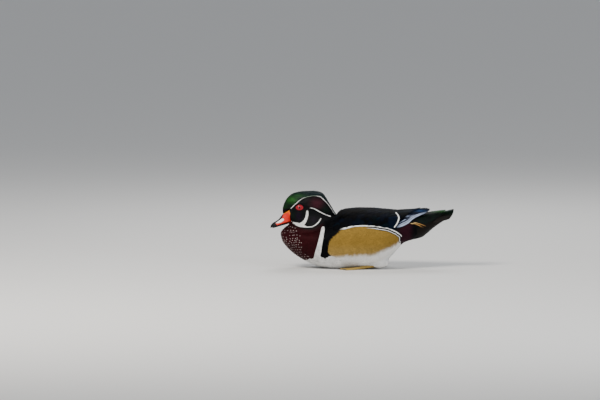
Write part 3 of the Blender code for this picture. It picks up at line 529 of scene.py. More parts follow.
def newPiece(name, points, faces, material, nodes, colour, floats={}, uvs={}, sharp=0):
    mesh = bpy.data.meshes.new(name)
    mesh.vertices.add(len(points))
    mesh.vertices.foreach_set("co", np.asarray(points, np.float32).ravel())
    mesh.loops.add(faces.size)
    mesh.loops.foreach_set("vertex_index", faces.ravel().astype(np.int32))
    mesh.polygons.add(len(faces))
    mesh.polygons.foreach_set("loop_start", (np.arange(len(faces)) * faces.shape[1]).astype(np.int32))
    mesh.update(calc_edges=True)
    mesh.polygons.foreach_set("use_smooth", np.full(len(faces), True))
    paint = np.concatenate([colour, np.ones((len(points), 1))], axis=1)
    layer = mesh.color_attributes.new("paint", "FLOAT_COLOR", "POINT")
    layer.data.foreach_set("color", paint.astype(np.float32).ravel())
    for key, values in floats.items():
        layer = mesh.attributes.new(key, "FLOAT", "POINT")
        layer.data.foreach_set("value", values.astype(np.float32).ravel())
    for key, places in uvs.items():
        layer = mesh.uv_layers.new(name=key)
        layer.data.foreach_set("uv", places[faces.ravel()].astype(np.float32).ravel())
    if sharp:
        mesh.set_sharp_from_angle(angle=math.radians(sharp))
    mesh.materials.append(material)
    piece = addObject(name, mesh)
    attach(piece, "root")
    if nodes:
        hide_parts(*nodes)


def gridQuads(rows, columns, wrap=True):
    r, c = np.meshgrid(np.arange(rows - 1), np.arange(columns if wrap else columns - 1), indexing="ij")
    a, b = r * columns + c, r * columns + (c + 1) % columns
    return np.stack([a, b, b + columns, a + columns], axis=-1).reshape(-1, 4)


def halved(quads):
    return np.concatenate([quads[:, [0, 1, 2]], quads[:, [0, 2, 3]]])


def closeRings(rings):
    # a stack of rings with the middle of each end: points, quads between the rings, triangles over the ends
    rows, columns = rings.shape[:2]
    points = np.concatenate([rings.reshape(-1, 3), rings[[0, -1]].mean(axis=1)])
    around = np.arange(columns)
    after, last, middle = (around + 1) % columns, (rows - 1) * columns, np.full(columns, rows * columns)
    ends = np.stack([[middle, after, around], [middle + 1, last + around, last + after]])
    return points, gridQuads(rows, columns), ends.transpose(0, 2, 1).reshape(-1, 3)


def outward(points, faces, centre=0.0):
    a, b, c = (points[faces[:, k]] for k in range(3))
    return faces if (np.cross(b - a, c - a) * (a - centre)).sum() > 0 else faces[:, ::-1]


def closedTriangles(rings):
    points, quads, ends = closeRings(rings)
    return points, outward(points, np.concatenate([halved(quads), ends]))


def joinParts(parts):
    shifts = np.cumsum([0] + [len(points) for points, _ in parts])
    points = np.concatenate([points for points, _ in parts])
    return points, np.concatenate([faces + shift for (_, faces), shift in zip(parts, shifts)])


def ball(rows, columns):
    # a unit ball's rings from pole to pole: (cos rise cos turn, cos rise sin turn, sin rise)
    rise = (np.linspace(-0.5, 0.5, rows) * math.pi * 0.998)[:, None]
    turn = np.arange(columns) * 2 * math.pi / columns
    return np.stack(np.broadcast_arrays(np.cos(rise) * np.cos(turn), np.cos(rise) * np.sin(turn), np.sin(rise)),
                    axis=-1)


# Feather vanes. Each point carries colour, metal gloss, strength of the pattern and distance from a
# white marking; these are the values where nothing is painted
coatFloats = {"gloss": 0.0, "mark": 0.0, "pale": 0.004}
# the skin unrolled about its own long axis, cut along the underside: height of the axis, first and last y
unwraps = {"trunk": (0.066, -0.19, 0.19), "head": (0.114, -0.17, -0.045)}
# lowest height of a vane's upper and lower face and of the skin
lowest = {"top": 0.0003, "under": 0.0001, "skin": 0.0006}


def vanes(centres, normals, halves, paint, columns=3, camber=0.12, thick=0.0001, unwrap="trunk", pointwise=True):
    # upper face: centre + across half c, drooped along the normal by camber half c^2, c from -1 to 1;
    # centres and normals are (feathers, rows, 3), halves (feathers, rows)
    count, rows = halves.shape
    size = rows * columns
    across = unit(np.cross(np.gradient(centres, axis=1), normals))[:, :, None]
    halves = halves[:, :, None]
    c = np.linspace(-1, 1, columns)
    droop = normals[:, :, None] * (halves * camber * c * c)[..., None]
    top = centres[:, :, None] + across * (halves * c)[..., None] - droop
    top[..., 2] = np.maximum(top[..., 2], lowest["top"])
    low = top[:, 1:-1, 1:-1] - normals[:, 1:-1, None] * thick
    low[..., 2] = np.maximum(low[..., 2], lowest["under"])
    steps = np.linalg.norm(np.diff(centres, axis=1), axis=2)
    lengths = np.concatenate([np.zeros((count, 1)), np.cumsum(steps, axis=1)], axis=1)[:, :, None]
    whole = lengths[:, -1:]
    tGrid = np.broadcast_to(lengths / whole, (count, rows, columns))
    cGrid = np.broadcast_to(c, tGrid.shape)
    where = top.reshape(-1, 3) if pointwise else np.repeat(centres[:, rows * 2 // 3], size, axis=0)
    number = np.repeat(np.arange(count), size)
    painted = paint(where, tGrid.ravel(), cGrid.ravel(), number)
    level, first, last = unwraps[unwrap]
    root = centres[:, 0]
    around = np.arctan2(root[:, 0], root[:, 2] - level) / (2 * math.pi) + 0.5
    root = np.repeat(np.stack([around, (root[:, 1] - first) / (last - first)], axis=-1), size, axis=0)
    spread = np.stack([cGrid.ravel() * 0.0015, (tGrid.ravel() - 0.5) * 0.003], axis=-1)

    def withLow(values):
        # the under face repeats the values of the upper one's inner points
        grid = values.reshape(count, rows, columns, -1)
        faces = [part.reshape(count, -1, grid.shape[-1]) for part in (grid, grid[:, 1:-1, 1:-1])]
        return np.concatenate(faces, axis=1).reshape(-1, grid.shape[-1])

    # a top grid and a bottom grid that share their border, so each vane is closed
    inner = np.arange(size).reshape(rows, columns)
    inner[1:-1, 1:-1] = size + np.arange((rows - 2) * (columns - 2)).reshape(rows - 2, columns - 2)
    quads = gridQuads(rows, columns, False)
    faces = np.concatenate([quads, inner.ravel()[quads][:, ::-1]])
    points = np.concatenate([top.reshape(count, -1, 3), low.reshape(count, -1, 3)], axis=1)
    floats = {key: np.broadcast_to(painted.get(key, other), number.shape) for key, other in coatFloats.items()}
    return {
        "points": points.reshape(-1, 3),
        "faces": (faces + (np.arange(count) * points.shape[1])[:, None, None]).reshape(-1, 4),
        "colour": withLow(painted["colour"]),
        **{key: withLow(values) for key, values in floats.items()},
        "toTip": withLow((1 - tGrid) * whole),
        "OFBake": withLow(np.clip(root + spread, 0.001, 0.999)),
        "vane": withLow(np.stack([cGrid * halves, np.broadcast_to(lengths, tGrid.shape)], axis=-1)),
    }


def coatPiece(name, batches, material, nodes=()):
    points, faces = joinParts([(batch["points"], batch["faces"]) for batch in batches])
    joined = {key: np.concatenate([batch[key] for batch in batches]) for key in batches[0] if key != "faces"}
    print(name, "triangles", len(faces) * 2)
    floats = {key: joined[key] for key in (*coatFloats, "toTip")}
    uvs = {key: joined[key] for key in ("OFBake", "vane")}
    newPiece(name, points, faces, material, nodes, joined["colour"], floats, uvs, sharp=70)


# Skin: the body forms joined by a voxel remesh, then smoothed

skinShape = {
    "lift": -0.0005, "crestLift": -0.0016, "voxel": 0.0015, "rounds": 60, "whole": 8, "least": 0.35,
    "strengths": (0.62, -0.64), "thigh": (0.034, 0.034, 0.014), "thighHalf": (0.011, 0.021, 0.011),
    "thighRounds": 44, "shade": 0.8,
}


def formRings(form, rows, columns, lift):
    # rings of a body form at even steps of y, kept above the floor
    rings = form.rings(np.linspace(form.first, form.last, rows), columns, lift)
    rings[..., 2] = np.maximum(rings[..., 2], lowest["skin"])
    return rings


def neckRings(rows, columns, lift):
    # an ellipse at each height: x = half cos, y = middle + depth sin
    heights = np.linspace(neckTable[0][0], neckTable[-1][0], rows)[:, None]
    front, back, half = (curve(heights) for curve in curves(neckTable))
    turn = np.radians(np.arange(columns) * 360.0 / columns)
    x = (half + lift) * np.cos(turn)
    y = (front + back) / 2 + ((back - front) / 2 + lift) * np.sin(turn)
    return np.stack(np.broadcast_arrays(x, y, heights), axis=-1)


def readMesh(items, key, width, kind=np.int64):
    values = np.zeros(len(items) * width, kind)
    items.foreach_get(key, values)
    return values.reshape(-1, width)


def skinMesh():
    shape = skinShape
    stacks = [formRings(trunk, 110, 96, shape["lift"]), formRings(headForm, 60, 64, shape["lift"]),
              formRings(crestForm, 60, 64, shape["crestLift"]), neckRings(30, 72, shape["lift"])]
    for _, sign in sides:
        stacks.append(ball(24, 32) * shape["thighHalf"] + np.array(shape["thigh"]) * (sign, 1, 1))
    points, faces, shift = [], [], 0
    for own, quads, ends in map(closeRings, stacks):
        points.append(own)
        faces += (quads + shift).tolist() + (ends + shift).tolist()
        shift += len(own)
    mesh = bpy.data.meshes.new("skinSource")
    mesh.from_pydata(np.concatenate(points).tolist(), [], faces)
    source = addObject("skinSource", mesh)
    remesh = source.modifiers.new("remesh", "REMESH")
    remesh.mode, remesh.voxel_size = "VOXEL", shape["voxel"]
    graph = bpy.context.evaluated_depsgraph_get()
    fused = bpy.data.meshes.new_from_object(source.evaluated_get(graph))
    bpy.data.objects.remove(source)
    co = readMesh(fused.vertices, "co", 3, float)
    edges = readMesh(fused.edges, "vertices", 2)
    quads = readMesh(fused.loops, "vertex_index", 1).reshape(-1, 4)
    bpy.data.meshes.remove(fused)
    here, there = np.concatenate([edges, edges[:, ::-1]]).T
    degree = np.bincount(here, minlength=len(co))[:, None]
    # the creases round the neck soften most, the rest only loses the voxels' steps
    y, z = co.T[1:]
    soft = step(0.068, 0.08, z) * step(0.118, 0.104, z) * step(-0.04, -0.052, y)
    thigh = (step(0.034, 0.024, z) * step(0.0, 0.008, y) * step(0.07, 0.06, y) * 0.5)[:, None]
    weight = mix(shape["least"], 1.0, soft)[:, None]
    for number in range(shape["rounds"]):
        around = np.stack([np.bincount(here, co[there, k], len(co)) for k in range(3)], axis=-1) / degree
        strength = weight if number < shape["whole"] else np.where(weight > 0.5, weight, 0.0)
        # every second step goes back a little further, so that nothing shrinks
        co = co + (around - co) * strength * shape["strengths"][number % 2]
        if number < shape["thighRounds"]:
            co = co + (around - co) * thigh
    co[:, 2] = np.maximum(co[:, 2], lowest["skin"])
    return co, quads


def skinCorners():
    return (skinPoints[skinQuads[:, k]] for k in range(4))


def skinNormals():
    a, b, c, d = skinCorners()
    face = np.cross(c - a, d - b)
    total = np.zeros_like(skinPoints)
    for k in range(4):
        for axis in range(3):
            total[:, axis] += np.bincount(skinQuads[:, k], face[:, axis], len(skinPoints))
    return unit(total)


skinPoints, skinQuads = skinMesh()
skinTree = BVHTree.FromPolygons(skinPoints.tolist(), skinQuads.tolist())
skinNormal = skinNormals()
print("skin vertices", len(skinPoints))


def nearestOnSkin(points):
    # the nearest place on the skin, with the skin's smooth normal there
    hits = [skinTree.find_nearest(point) for point in points.tolist()]
    found = np.array([hit[0] for hit in hits])
    corners = skinQuads[[hit[2] for hit in hits]]
    weights = 1.0 / (np.linalg.norm(skinPoints[corners] - found[:, None], axis=2) + 1e-5)
    return found, unit((skinNormal[corners] * weights[..., None]).sum(axis=1))


def skinReach(points):
    # how far out the skin lies beside each place of the side view
    out = []
    for x, y, z in points.tolist():
        side = 1.0 if x >= 0 else -1.0
        hit = skinTree.ray_cast((0.05 * side, y, z), (-side, 0.0, 0.0))[0]
        out.append(0.0 if hit is None else max(hit[0] * side, 0.0))
    return np.array(out)


def scatter(cell, accept, tries=4):
    # one place on the skin in each cell of a cubic grid, at random within it
    a, b, c, d = skinCorners()
    area = np.linalg.norm(np.cross(c - a, d - b), axis=1)
    want = int(area.sum() / 2 / cell ** 2 * tries)
    pick = dice.choice(len(area), want, p=area / area.sum())
    u, v = dice.random((2, want, 1))
    points = (a[pick] * (1 - u) + b[pick] * u) * (1 - v) + (d[pick] * (1 - u) + c[pick] * u) * v
    points = points[accept(points)]
    _, first = np.unique(np.floor(points / cell).astype(np.int64), axis=0, return_index=True)
    return points[first]


def coatWay(p):
    # which way the small feathers lie: back over the trunk, away from the bill on the face,
    # to the crest's tip at the back of the head, down and back on the neck and breast
    x, y, z = p.T

    def turned(way, other, share):
        return mix(way, other, share[:, None])

    face = unit(p - (0, -0.172, 0.1))
    nape = unit(np.array((0, -0.04, 0.096)) - p)
    down = unit(np.stack(np.broadcast_arrays(x * 2.0, 0.06, -0.06), axis=-1))
    headward = step(-0.004, 0.002, z - heightOn(headEdge, y)) * step(-0.055, -0.062, y)
    way = turned(np.array((0.0, 1.0, 0.0)), down, step(-0.05, -0.1, y) * step(0.045, 0.075, z) * 0.75)
    way = turned(way, face, headward)
    way = turned(way, nape, headward * step(-0.11, -0.085, y))
    return turned(way, np.array((0.0, 0.3, -1.0)), step(-0.145, -0.16, y) * (1 - headward))


# how much the small feathers differ in length, half width, height above the skin and tone
uneven = {"length": 0.18, "half": 0.15, "layer": 0.3, "tone": 0.16}


def layOnSkin(roots, length, half, rows, rise, spread):
    # walks from each root over the skin in even steps; the vane rises from rise[0] at its root to rise[1] at its tip
    count = len(roots)
    length = (length * (1 + uneven["length"] * (dice.random(count) - 0.5) * 2) / (rows - 1))[:, None]
    turn = dice.normal(0, spread, count)[:, None]
    place, normal = nearestOnSkin(roots)
    centres, normals = [place], [normal]
    for _ in range(rows - 1):
        way = coatWay(place)
        way = unit(way - normal * (way * normal).sum(axis=1, keepdims=True))
        way = way * np.cos(turn) + np.cross(way, normal) * np.sin(turn)
        place, normal = nearestOnSkin(place + way * length)
        centres.append(place)
        normals.append(normal)
    centres, normals = np.stack(centres, axis=1), np.stack(normals, axis=1)
    t = np.linspace(0, 1, rows)
    layer = dice.random(count)[:, None] * (rise[1] - rise[0]) * uneven["layer"]
    centres = centres + normals * (mix(*rise, t) + layer)[..., None]
    # widths: rise quickly from the quill, full at two thirds, round at the tip
    shape = np.interp(t, (0, 0.25, 0.65, 0.88, 1.0), (0.45, 0.85, 1.0, 0.75, 0.35))
    return centres, normals, half * (1 + uneven["half"] * (dice.random(count) - 0.5) * 2)[:, None] * shape


# Markings: each painter returns colour, gloss and the distance from white

def faceAhead(p):
    # how far each place is in front of the feathers' border on the side of the face
    return np.interp(p[:, 2], *faceEdge) - p[:, 1]


def underRoof(p):
    # how far each place is below the edge of the forehead's feathers
    return heightOn(browEdge, p[:, 1]) - p[:, 2]


def onHead(p):
    return (p[:, 2] > heightOn(headEdge, p[:, 1])) & (p[:, 1] < -0.056)


def onBill(p):
    # where the skin only backs the bill
    return (faceAhead(p) > 0) & (underRoof(p) > 0) & (p[:, 2] > 0.0925)


def underLid(p, grow=0.0):
    dy, dz = p[:, 1] - eye["lid"][1], p[:, 2] - eye["lid"][2]
    return (dy / (eye["cover"][0] + grow)) ** 2 + (dz / (eye["cover"][1] + grow)) ** 2 < 1


def underCoat(p, margin=2.5):
    # true under the flank, wing, mantle or plume feathers, away from their borders
    y = p[:, 1]
    angle, upper = trunk.angleAt(y, p[:, 2]), p[:, 2] > trunk.level(y)
    flank = (y > -0.062) & (y < 0.076) & (angle > flankLow(y) + margin) & (angle < flankHigh(y) - 0.5)
    wing = (y > -0.046) & (y < 0.135) & (angle > wingLow(y) + 0.5) & (angle < wingHigh(y))
    mantle = (y > -0.046) & (y < 0.086) & (angle > mantleLow(y))
    plume = (y > 0.083) & (y < 0.118) & (angle > plumeLow(y) + margin) & (angle < plumeHigh(y) - margin)
    return flank | (wing & upper) | (mantle & upper) | plume


def within(distance, reach=0.004):
    return np.clip(distance, -reach, reach)


def paintHead(p):
    x, y, z = p.T
    crown = layered("bottle", ("teal", step(-0.137, -0.12, y) * 0.8), *patches(
        p, ("teal", 0.8, -0.142, 0.151, 0.012, 0.004), ("green", 1.25, -0.144, 0.139, 0.011, 0.007),
        ("green", 0.55, -0.127, 0.1475, 0.012, 0.004), ("green", 0.3, -0.157, 0.122, 0.006, 0.008)))
    cheek = layered("cheek", *patches(
        p, ("bottle", 1.0, -0.14, 0.107, 0.006, 0.008), ("violet", 0.8, -0.129, 0.106, 0.006, 0.008),
        ("violet", 0.4, -0.098, 0.1, 0.008, 0.006)))
    between = layered("cheek", *patches(
        p, ("plum", 1.2, -0.092, 0.132, 0.0125, 0.0095), ("bottle", 1.0, -0.074, 0.118, 0.008, 0.008)))
    overBrow = step(-0.0006, 0.0006, z - heightOn(browLine, y))
    overCrest = step(-0.001, 0.001, z - np.where(y < -0.1059, 0.124, heightOn(crestLine, y)))
    colour = mix(mix(cheek, between, overCrest[:, None]), crown, overBrow[:, None])
    overBridle = z - heightOn(bridle, y)
    colour = layered(colour, ("maroonDeep", step(0.0, -0.002, overBridle + 0.003) * step(-0.086, -0.092, y)))
    gloss = 0.06 + overBrow * 0.2 * np.minimum(patch(p, -0.14, 0.14, 0.016, 0.012), 1)
    throat = np.maximum.reduce([overBridle, y + 0.114, np.abs(x) - 0.0105])
    pale = np.minimum.reduce([lineDistance(cheekProng, y, z), lineDistance(bridle, y, z), throat])
    return {"colour": colour, "gloss": gloss, "pale": within(pale)}


def paintBody(p):
    x, y, z = p.T
    angle = np.degrees(np.arctan2(z - 0.06, np.abs(x)))
    # white bar in front of the wing, widening downwards, then a black bar
    half = np.interp(z, (0.036, 0.0494, 0.0825, 0.0868), (0.006, 0.0049, 0.0034, 0.0016))
    edge = y - (-0.0785 + (0.0883 - z) * (-0.0083 / 0.0389))
    bar = np.maximum(np.abs(edge) - half, z - 0.0866)
    dark = np.maximum(step(-0.0005, 0.0005, edge), step(0.0872, 0.0892, z) * step(-0.006, 0.003, edge))
    # belly white from the breast back, ragged along its upper edge
    rag = 0.001 * np.sin(y * 300 + 2.0 * np.sin(x * 160)) + 0.0008 * np.sin(y * 900 + x * 500)
    start = np.interp(y, (-0.15, -0.12, -0.095, -0.086, -0.081, -0.075, -0.068, -0.062, 0.02, 0.06, 0.09),
                      (0.012, 0.016, 0.025, 0.03, 0.026, 0.022, 0.027, 0.031, 0.036, 0.06, 0.04))
    belly = np.maximum(z + rag - start, y + rag - 0.079)
    # dark under the tail, maroon beside it
    rear = step(0.066, 0.08, y + rag)
    side = step(-52, -40, angle) * step(30, 20, angle) * step(0.104, 0.094, y)
    colour = layered("maroonDeep", ("maroon", step(0.092, 0.07, z)),
                     ("maroonDeep", step(-0.105, -0.085, y) * step(0.045, 0.075, z) * 0.7), ("black", dark),
                     ("umber", rear * step(5, -20, angle)), ("rump", rear * side))
    return {"colour": colour, "gloss": mix(0.1, 0.16, dark), "pale": within(np.minimum(bar, belly))}


def paintSkin(p):
    head, body = paintHead(p), paintBody(p)
    colour = np.where(onHead(p)[:, None], head["colour"], body["colour"])
    pale = np.where(onHead(p), head["pale"], body["pale"])
    return layered(colour, ("white", step(0.0005, -0.0005, pale)))


skinMaterial = paintedMaterial("duckSkin", 0.75, 700.0, 0.5, 0.0003, vary=0.25, specular=0.2)
newPiece("skin", skinPoints, skinQuads, skinMaterial,
         ("torso", "breast", "neck", "head", "leg_left", "leg_right"),
         paintSkin(skinPoints) * skinShape["shade"])
print("skin done")


# Small feathers over the skin

def painter(paint, tipGlow=0.15, mark=0.0):
    def at(where, t, c, number):
        painted = paint(where)
        jitter = 1 + uneven["tone"] * (featherChance(number) - 0.5)
        painted["colour"] = painted["colour"] * ((0.86 + tipGlow * t) * jitter)[:, None]
        return {**painted, "mark": mark}

    return at


spots = {"low": 0.016, "high": 0.086, "rise": 0.0046, "apart": 0.0056, "axis": -0.115, "half": 0.00095,
         "length": 0.0022}


def spottedRoots():
    # rings of places round the front of the breast, each ring shifted by half a step from the next;
    # they thin out towards the side
    roots = []
    turns = np.radians(np.arange(-120, 120, 0.5))
    rays = np.stack([np.sin(turns), -np.cos(turns), 0 * turns], axis=-1)
    for number, z in enumerate(np.arange(spots["low"], spots["high"], spots["rise"])):
        middle = Vector((0, spots["axis"], z))
        hits = [skinTree.ray_cast(middle + Vector(ray) * 0.2, -Vector(ray))[0] for ray in rays.tolist()]
        hits = np.array([(0, 0, z) if hit is None else hit for hit in hits])
        reach = np.concatenate([[0.0], np.cumsum(np.linalg.norm(np.diff(hits, axis=0), axis=1))])
        places = np.interp(0.0, turns, reach) + (np.arange(-40, 41) + 0.5 * (number % 2)) * spots["apart"]
        places = places[(places > 0) & (places < reach[-1])]
        roots.append(np.stack([np.interp(places, reach, hits[:, k]) for k in range(3)], axis=-1))
    roots = np.concatenate(roots)
    back = roots[:, 1] - np.interp(roots[:, 2], (0.02, 0.045, 0.07, 0.084), (0.016, 0.004, 0.0, -0.006))
    share = np.interp(back, (-0.141, -0.133, -0.125), (1.0, 0.6, 0.0))
    return roots[(dice.random(len(roots)) < share) & ~onHead(roots)]


smallCoats = {
    "breastCoat": {"cell": 0.0029, "length": 0.0082, "half": 0.0025, "rows": 5, "columns": 4,
                   "lift": (-0.0002, 0.0011), "tipGlow": 0.25},
    "bellyCoat": {"cell": 0.0038, "length": 0.011, "half": 0.0034, "rows": 5, "columns": 3,
                  "lift": (-0.0002, 0.0011), "tipGlow": 0.15},
    "headCoat": {"cell": 0.00155, "length": 0.0038, "half": 0.0009, "rows": 4, "columns": 3,
                 "lift": (-0.0001, 0.0005), "tipGlow": 0.15},
}


def smallCoat(name, material, unwrap, accept, paint, spotted=()):
    # the marked feathers lie a little higher and straighter than the rest
    shape, batches = smallCoats[name], []
    low, high = shape["lift"]
    for marked, places in enumerate((scatter(shape["cell"] * sparse, accept), *spotted)):
        laid = layOnSkin(places, shape["length"], shape["half"] * (1.0 if marked else sparse), shape["rows"],
                         (low, high + 0.0005 * marked), 0.16 - 0.1 * marked)
        painted = painter(paint, shape["tipGlow"], float(marked))
        batches.append(vanes(*laid, painted, shape["columns"], 0.18, unwrap=unwrap))
    coatPiece(name, batches, material)


breastFeathers = featherMaterial("breastFeathers", 0.62, specular=0.05, wedge=spots)
bellyFeathers = featherMaterial("bellyFeathers", 0.72, vary=0.1)
headFeathers = featherMaterial("headFeathers", 0.55, barb=0.0003, specular=0.1)
smallCoat("breastCoat", breastFeathers, "trunk",
          lambda p: ~onHead(p) & (p[:, 1] < -0.05) & ~underCoat(p) & (p[:, 2] > 0.012), paintBody,
          (spottedRoots(),))
smallCoat("bellyCoat", bellyFeathers, "trunk",
          lambda p: ~onHead(p) & ((p[:, 1] >= -0.05) | (p[:, 2] <= 0.012)) & ~underCoat(p) & (p[:, 2] > 0.0007),
          paintBody)
smallCoat("headCoat", headFeathers, "head", lambda p: onHead(p) & ~onBill(p) & ~underLid(p), paintHead)
print("small feathers done")


# Crest: long narrow feathers in layers from the forehead to the nape

crestShape = {"count": 1500, "rows": 14, "half": 0.001, "lengths": (0.016, 0.034), "lift": (-0.0011, 0.0006),
              "first": -0.1575, "reach": 0.098, "end": -0.053, "angles": (4, 176), "turn": 2.0,
              "crown": ((-0.16, 0.118), (-0.145, 0.12), (-0.13, 0.116), (-0.1, 0.104), (-0.06, 0.102))}


def crestCoat():
    # a feather's line on the crest's form: y = root + length t, angle = its own plus a small turn times t
    count = int(crestShape["count"] / sparse)
    root = crestShape["first"] + crestShape["reach"] * dice.random(count) ** 0.95
    angle = mix(*crestShape["angles"], dice.random(count))
    length = mix(*crestShape["lengths"], dice.random(count))
    length = np.minimum.reduce([length, crestShape["end"] - root, 0.01 + 1.1 * (root + 0.16)])
    t = np.linspace(0, 1, crestShape["rows"])
    y = root[:, None] + length[:, None] * t
    turn = angle[:, None] + dice.normal(0, crestShape["turn"], (count, 1)) * t
    lift = mix(*crestShape["lift"], t ** 0.7) + 0.0004 * dice.random((count, 1))
    centres, normals = crestForm.point(y, turn, lift), crestForm.normal(y, turn)
    start, middle, end = centres[:, 0], centres[:, len(t) // 2 - 1], centres[:, -1]
    keep = ~(underLid(start, 0.0006) | underLid(end) | underLid(middle))
    keep &= start[:, 2] > heightOn(crestShape["crown"], start[:, 1])
    halves = crestShape["half"] * sparse * (0.8 + 0.5 * dice.random((count, 1))) * np.interp(
        t, (0, 0.2, 0.7, 1.0), (0.5, 1.0, 0.8, 0.12))
    batch = vanes(centres[keep], normals[keep], halves[keep], painter(paintHead), camber=0.1, unwrap="head")
    crestFeathers = featherMaterial("crestFeathers", 0.46, barb=0.0003, specular=0.1)
    coatPiece("crestCoat", [batch], crestFeathers, ("crest",))


lineShape = {"pitch": 0.0005, "length": 0.0046, "rows": 6, "lift": (0.0006, 0.0014), "jitter": 0.0002}


def paintLine(where, t, c, number):
    # the line runs faint and greenish over the top of the head
    y, z = where.T[1:]
    faint = step(-0.122, -0.114, y) * step(-0.088, -0.096, y) * step(0.13, 0.136, z)
    return {"colour": layered(ink["white"] * (0.9 + 0.1 * t)[:, None], ("linePale", faint * 0.85))}


def lineFeathers(line, sign):
    # fine white feathers one after another along a line of the face, pointing to the nape
    rows = np.array(line).T
    reach = np.concatenate([[0.0], np.cumsum(np.hypot(np.diff(rows[0]), np.diff(rows[1])))])
    root = np.arange(0.0, reach[-1] - lineShape["length"] * 0.6, lineShape["pitch"])[:, None]
    t = np.linspace(0, 1, lineShape["rows"])
    along = np.minimum(root + lineShape["length"] * t, reach[-1])
    y, z, half = (np.interp(along, reach, row) for row in rows)
    z = z + dice.normal(0, lineShape["jitter"], root.shape)
    lift = mix(*lineShape["lift"], t)
    outwards = crestForm.normal(y, crestForm.angleAt(y, z))
    # the lift carries a feather up and back as well, so its place is first drawn back by as much
    y, z = y - outwards[..., 1] * lift, z - outwards[..., 2] * lift
    angle = crestForm.angleAt(y, z)
    onCrest, crestNormal = crestForm.point(y, angle, lift), crestForm.normal(y, angle)
    beside = np.stack([np.full(y.size, 0.02), y.ravel(), z.ravel()], axis=-1)
    beside[:, 0] = skinReach(beside)
    onFace, faceNormal = (found.reshape(*y.shape, 3) for found in nearestOnSkin(beside))
    onFace = onFace + faceNormal * (lift - 0.0002)[:, None]
    # whichever of crest and face stands further out carries the feather
    outer = (onFace[..., 0] > onCrest[..., 0])[..., None]
    halves = half * (0.55 + 0.5 * dice.random(root.shape)) * np.interp(t, (0, 0.3, 0.75, 1.0), (0.6, 1.0, 0.9, 0.2))
    flip = (sign, 1.0, 1.0)
    return vanes(np.where(outer, onFace, onCrest) * flip, np.where(outer, faceNormal, crestNormal) * flip, halves,
                 paintLine, camber=0.1, unwrap="head")


crestCoat()
lines = [lineFeathers(line, sign) for line in (browLine, crestLine) for _, sign in sides]
coatPiece("lineCoat", lines, headFeathers)
print("crest done")


# Feathers of the flanks, wings, mantle and plumes lie on the trunk between two edges

def swollen(full, edge=0.0013):
    # the lift over a region from edge to edge, highest in the middle
    return lambda y, share: edge + (full(y) - edge - edge) * np.sqrt(np.clip(4 * share * (1 - share), 0, 1))


def wingLift(y, share):
    low = wingLowLift(y)
    return low + (wingHighLift(y) - 0.0019 - low) * share + 0.0016 * step(0.105, 0.134, y)


regions = {
    "flank": (flankLow, flankHigh, swollen(flankFull)),
    "plume": (plumeLow, plumeHigh, swollen(plumeFull)),
    "wing": (wingLow, wingHigh, wingLift),
    "mantle": (mantleLow, lambda y: 180 - mantleLow(y), swollen(mantleFull)),
}
outlines = {
    "round": ((0, 0.12, 0.35, 0.7, 0.88, 0.96, 1.0), (0.3, 0.6, 0.88, 1.0, 0.84, 0.55, 0.15)),
    "broad": ((0, 0.15, 0.4, 0.8, 0.94, 1.0), (0.35, 0.7, 0.95, 1.0, 0.78, 0.3)),
    "long": ((0, 0.1, 0.3, 0.75, 0.93, 1.0), (0.25, 0.6, 0.92, 1.0, 0.66, 0.12)),
    "plume": ((0, 0.15, 0.45, 0.8, 1.0), (0.4, 0.9, 1.0, 0.6, 0.06)),
    "tail": ((0, 0.4, 0.85, 0.96, 1.0), (0.6, 0.92, 1.0, 0.8, 0.3)),
}


def regionVanes(region, side, root, length, half, share, paint, tipShare=None, outline="round", rows=12,
                columns=5, rise=(-0.001, 0.0013), camber=0.06, thick=0.00018, jitter=0.0003):
    # a feather's line on the trunk: y = root + length t; its angle lies at a share between the region's two edges
    low, high, lift = regions[region]
    each = np.broadcast_arrays(*map(np.atleast_1d, (root, length, half, share)))
    root, length, half, share = (v[:, None] for v in each)
    tip = share if tipShare is None else np.array(tipShare)[:, None]
    # rows crowd towards the tip, where the outline turns
    t = np.linspace(0, 1, rows) ** 0.85
    y = root + length * t
    here = share + (tip - share) * t
    angle = mix(low(y), high(y), here)
    above = lift(y, here) + rise[0] + (rise[1] - rise[0]) * t ** 0.8 + jitter * dice.random(root.shape)
    centres = trunk.point(y, angle, above)
    centres[..., 1] += np.maximum(y - trunk.last, 0)
    flip = (side, 1.0, 1.0)
    # c counts from the upper edge of the vane to the lower one on both sides of the bird
    return vanes(centres * flip, trunk.normal(y, angle) * flip, half * np.interp(t, *outlines[outline]),
                 lambda where, t, c, number: paint(where, t, c * side, number), columns, camber, thick)


def lattice(first, last, pitch, across, length, half, bend=((0, 1), (1, 1))):
    # rows of feathers, every second one shifted by half a feather: y, length, half width, share across
    pitch = pitch * sparse
    ys, shares = [], []
    for number, y in enumerate(np.arange(first, last, pitch)):
        odd = number % 2
        ys.append(np.full(across - odd, y))
        shares.append((np.arange(across - odd) + 0.5 + 0.5 * odd) / across)
    y, share = np.concatenate(ys), np.concatenate(shares)
    y = y + dice.normal(0, pitch * 0.08, len(y))
    share = share + dice.normal(0, 0.06 / across, len(y))
    return y, length * np.interp(y, *bend), half * sparse, share


# Flanks

# upper edge of the flank in the side view, round its rear end
flankY = np.array(flankTable)[:, 0]
flankEdge = [tuple(p[1:]) for p in trunk.point(flankY, flankHigh(flankY), 0.002)] + [(0.0792, 0.06)]


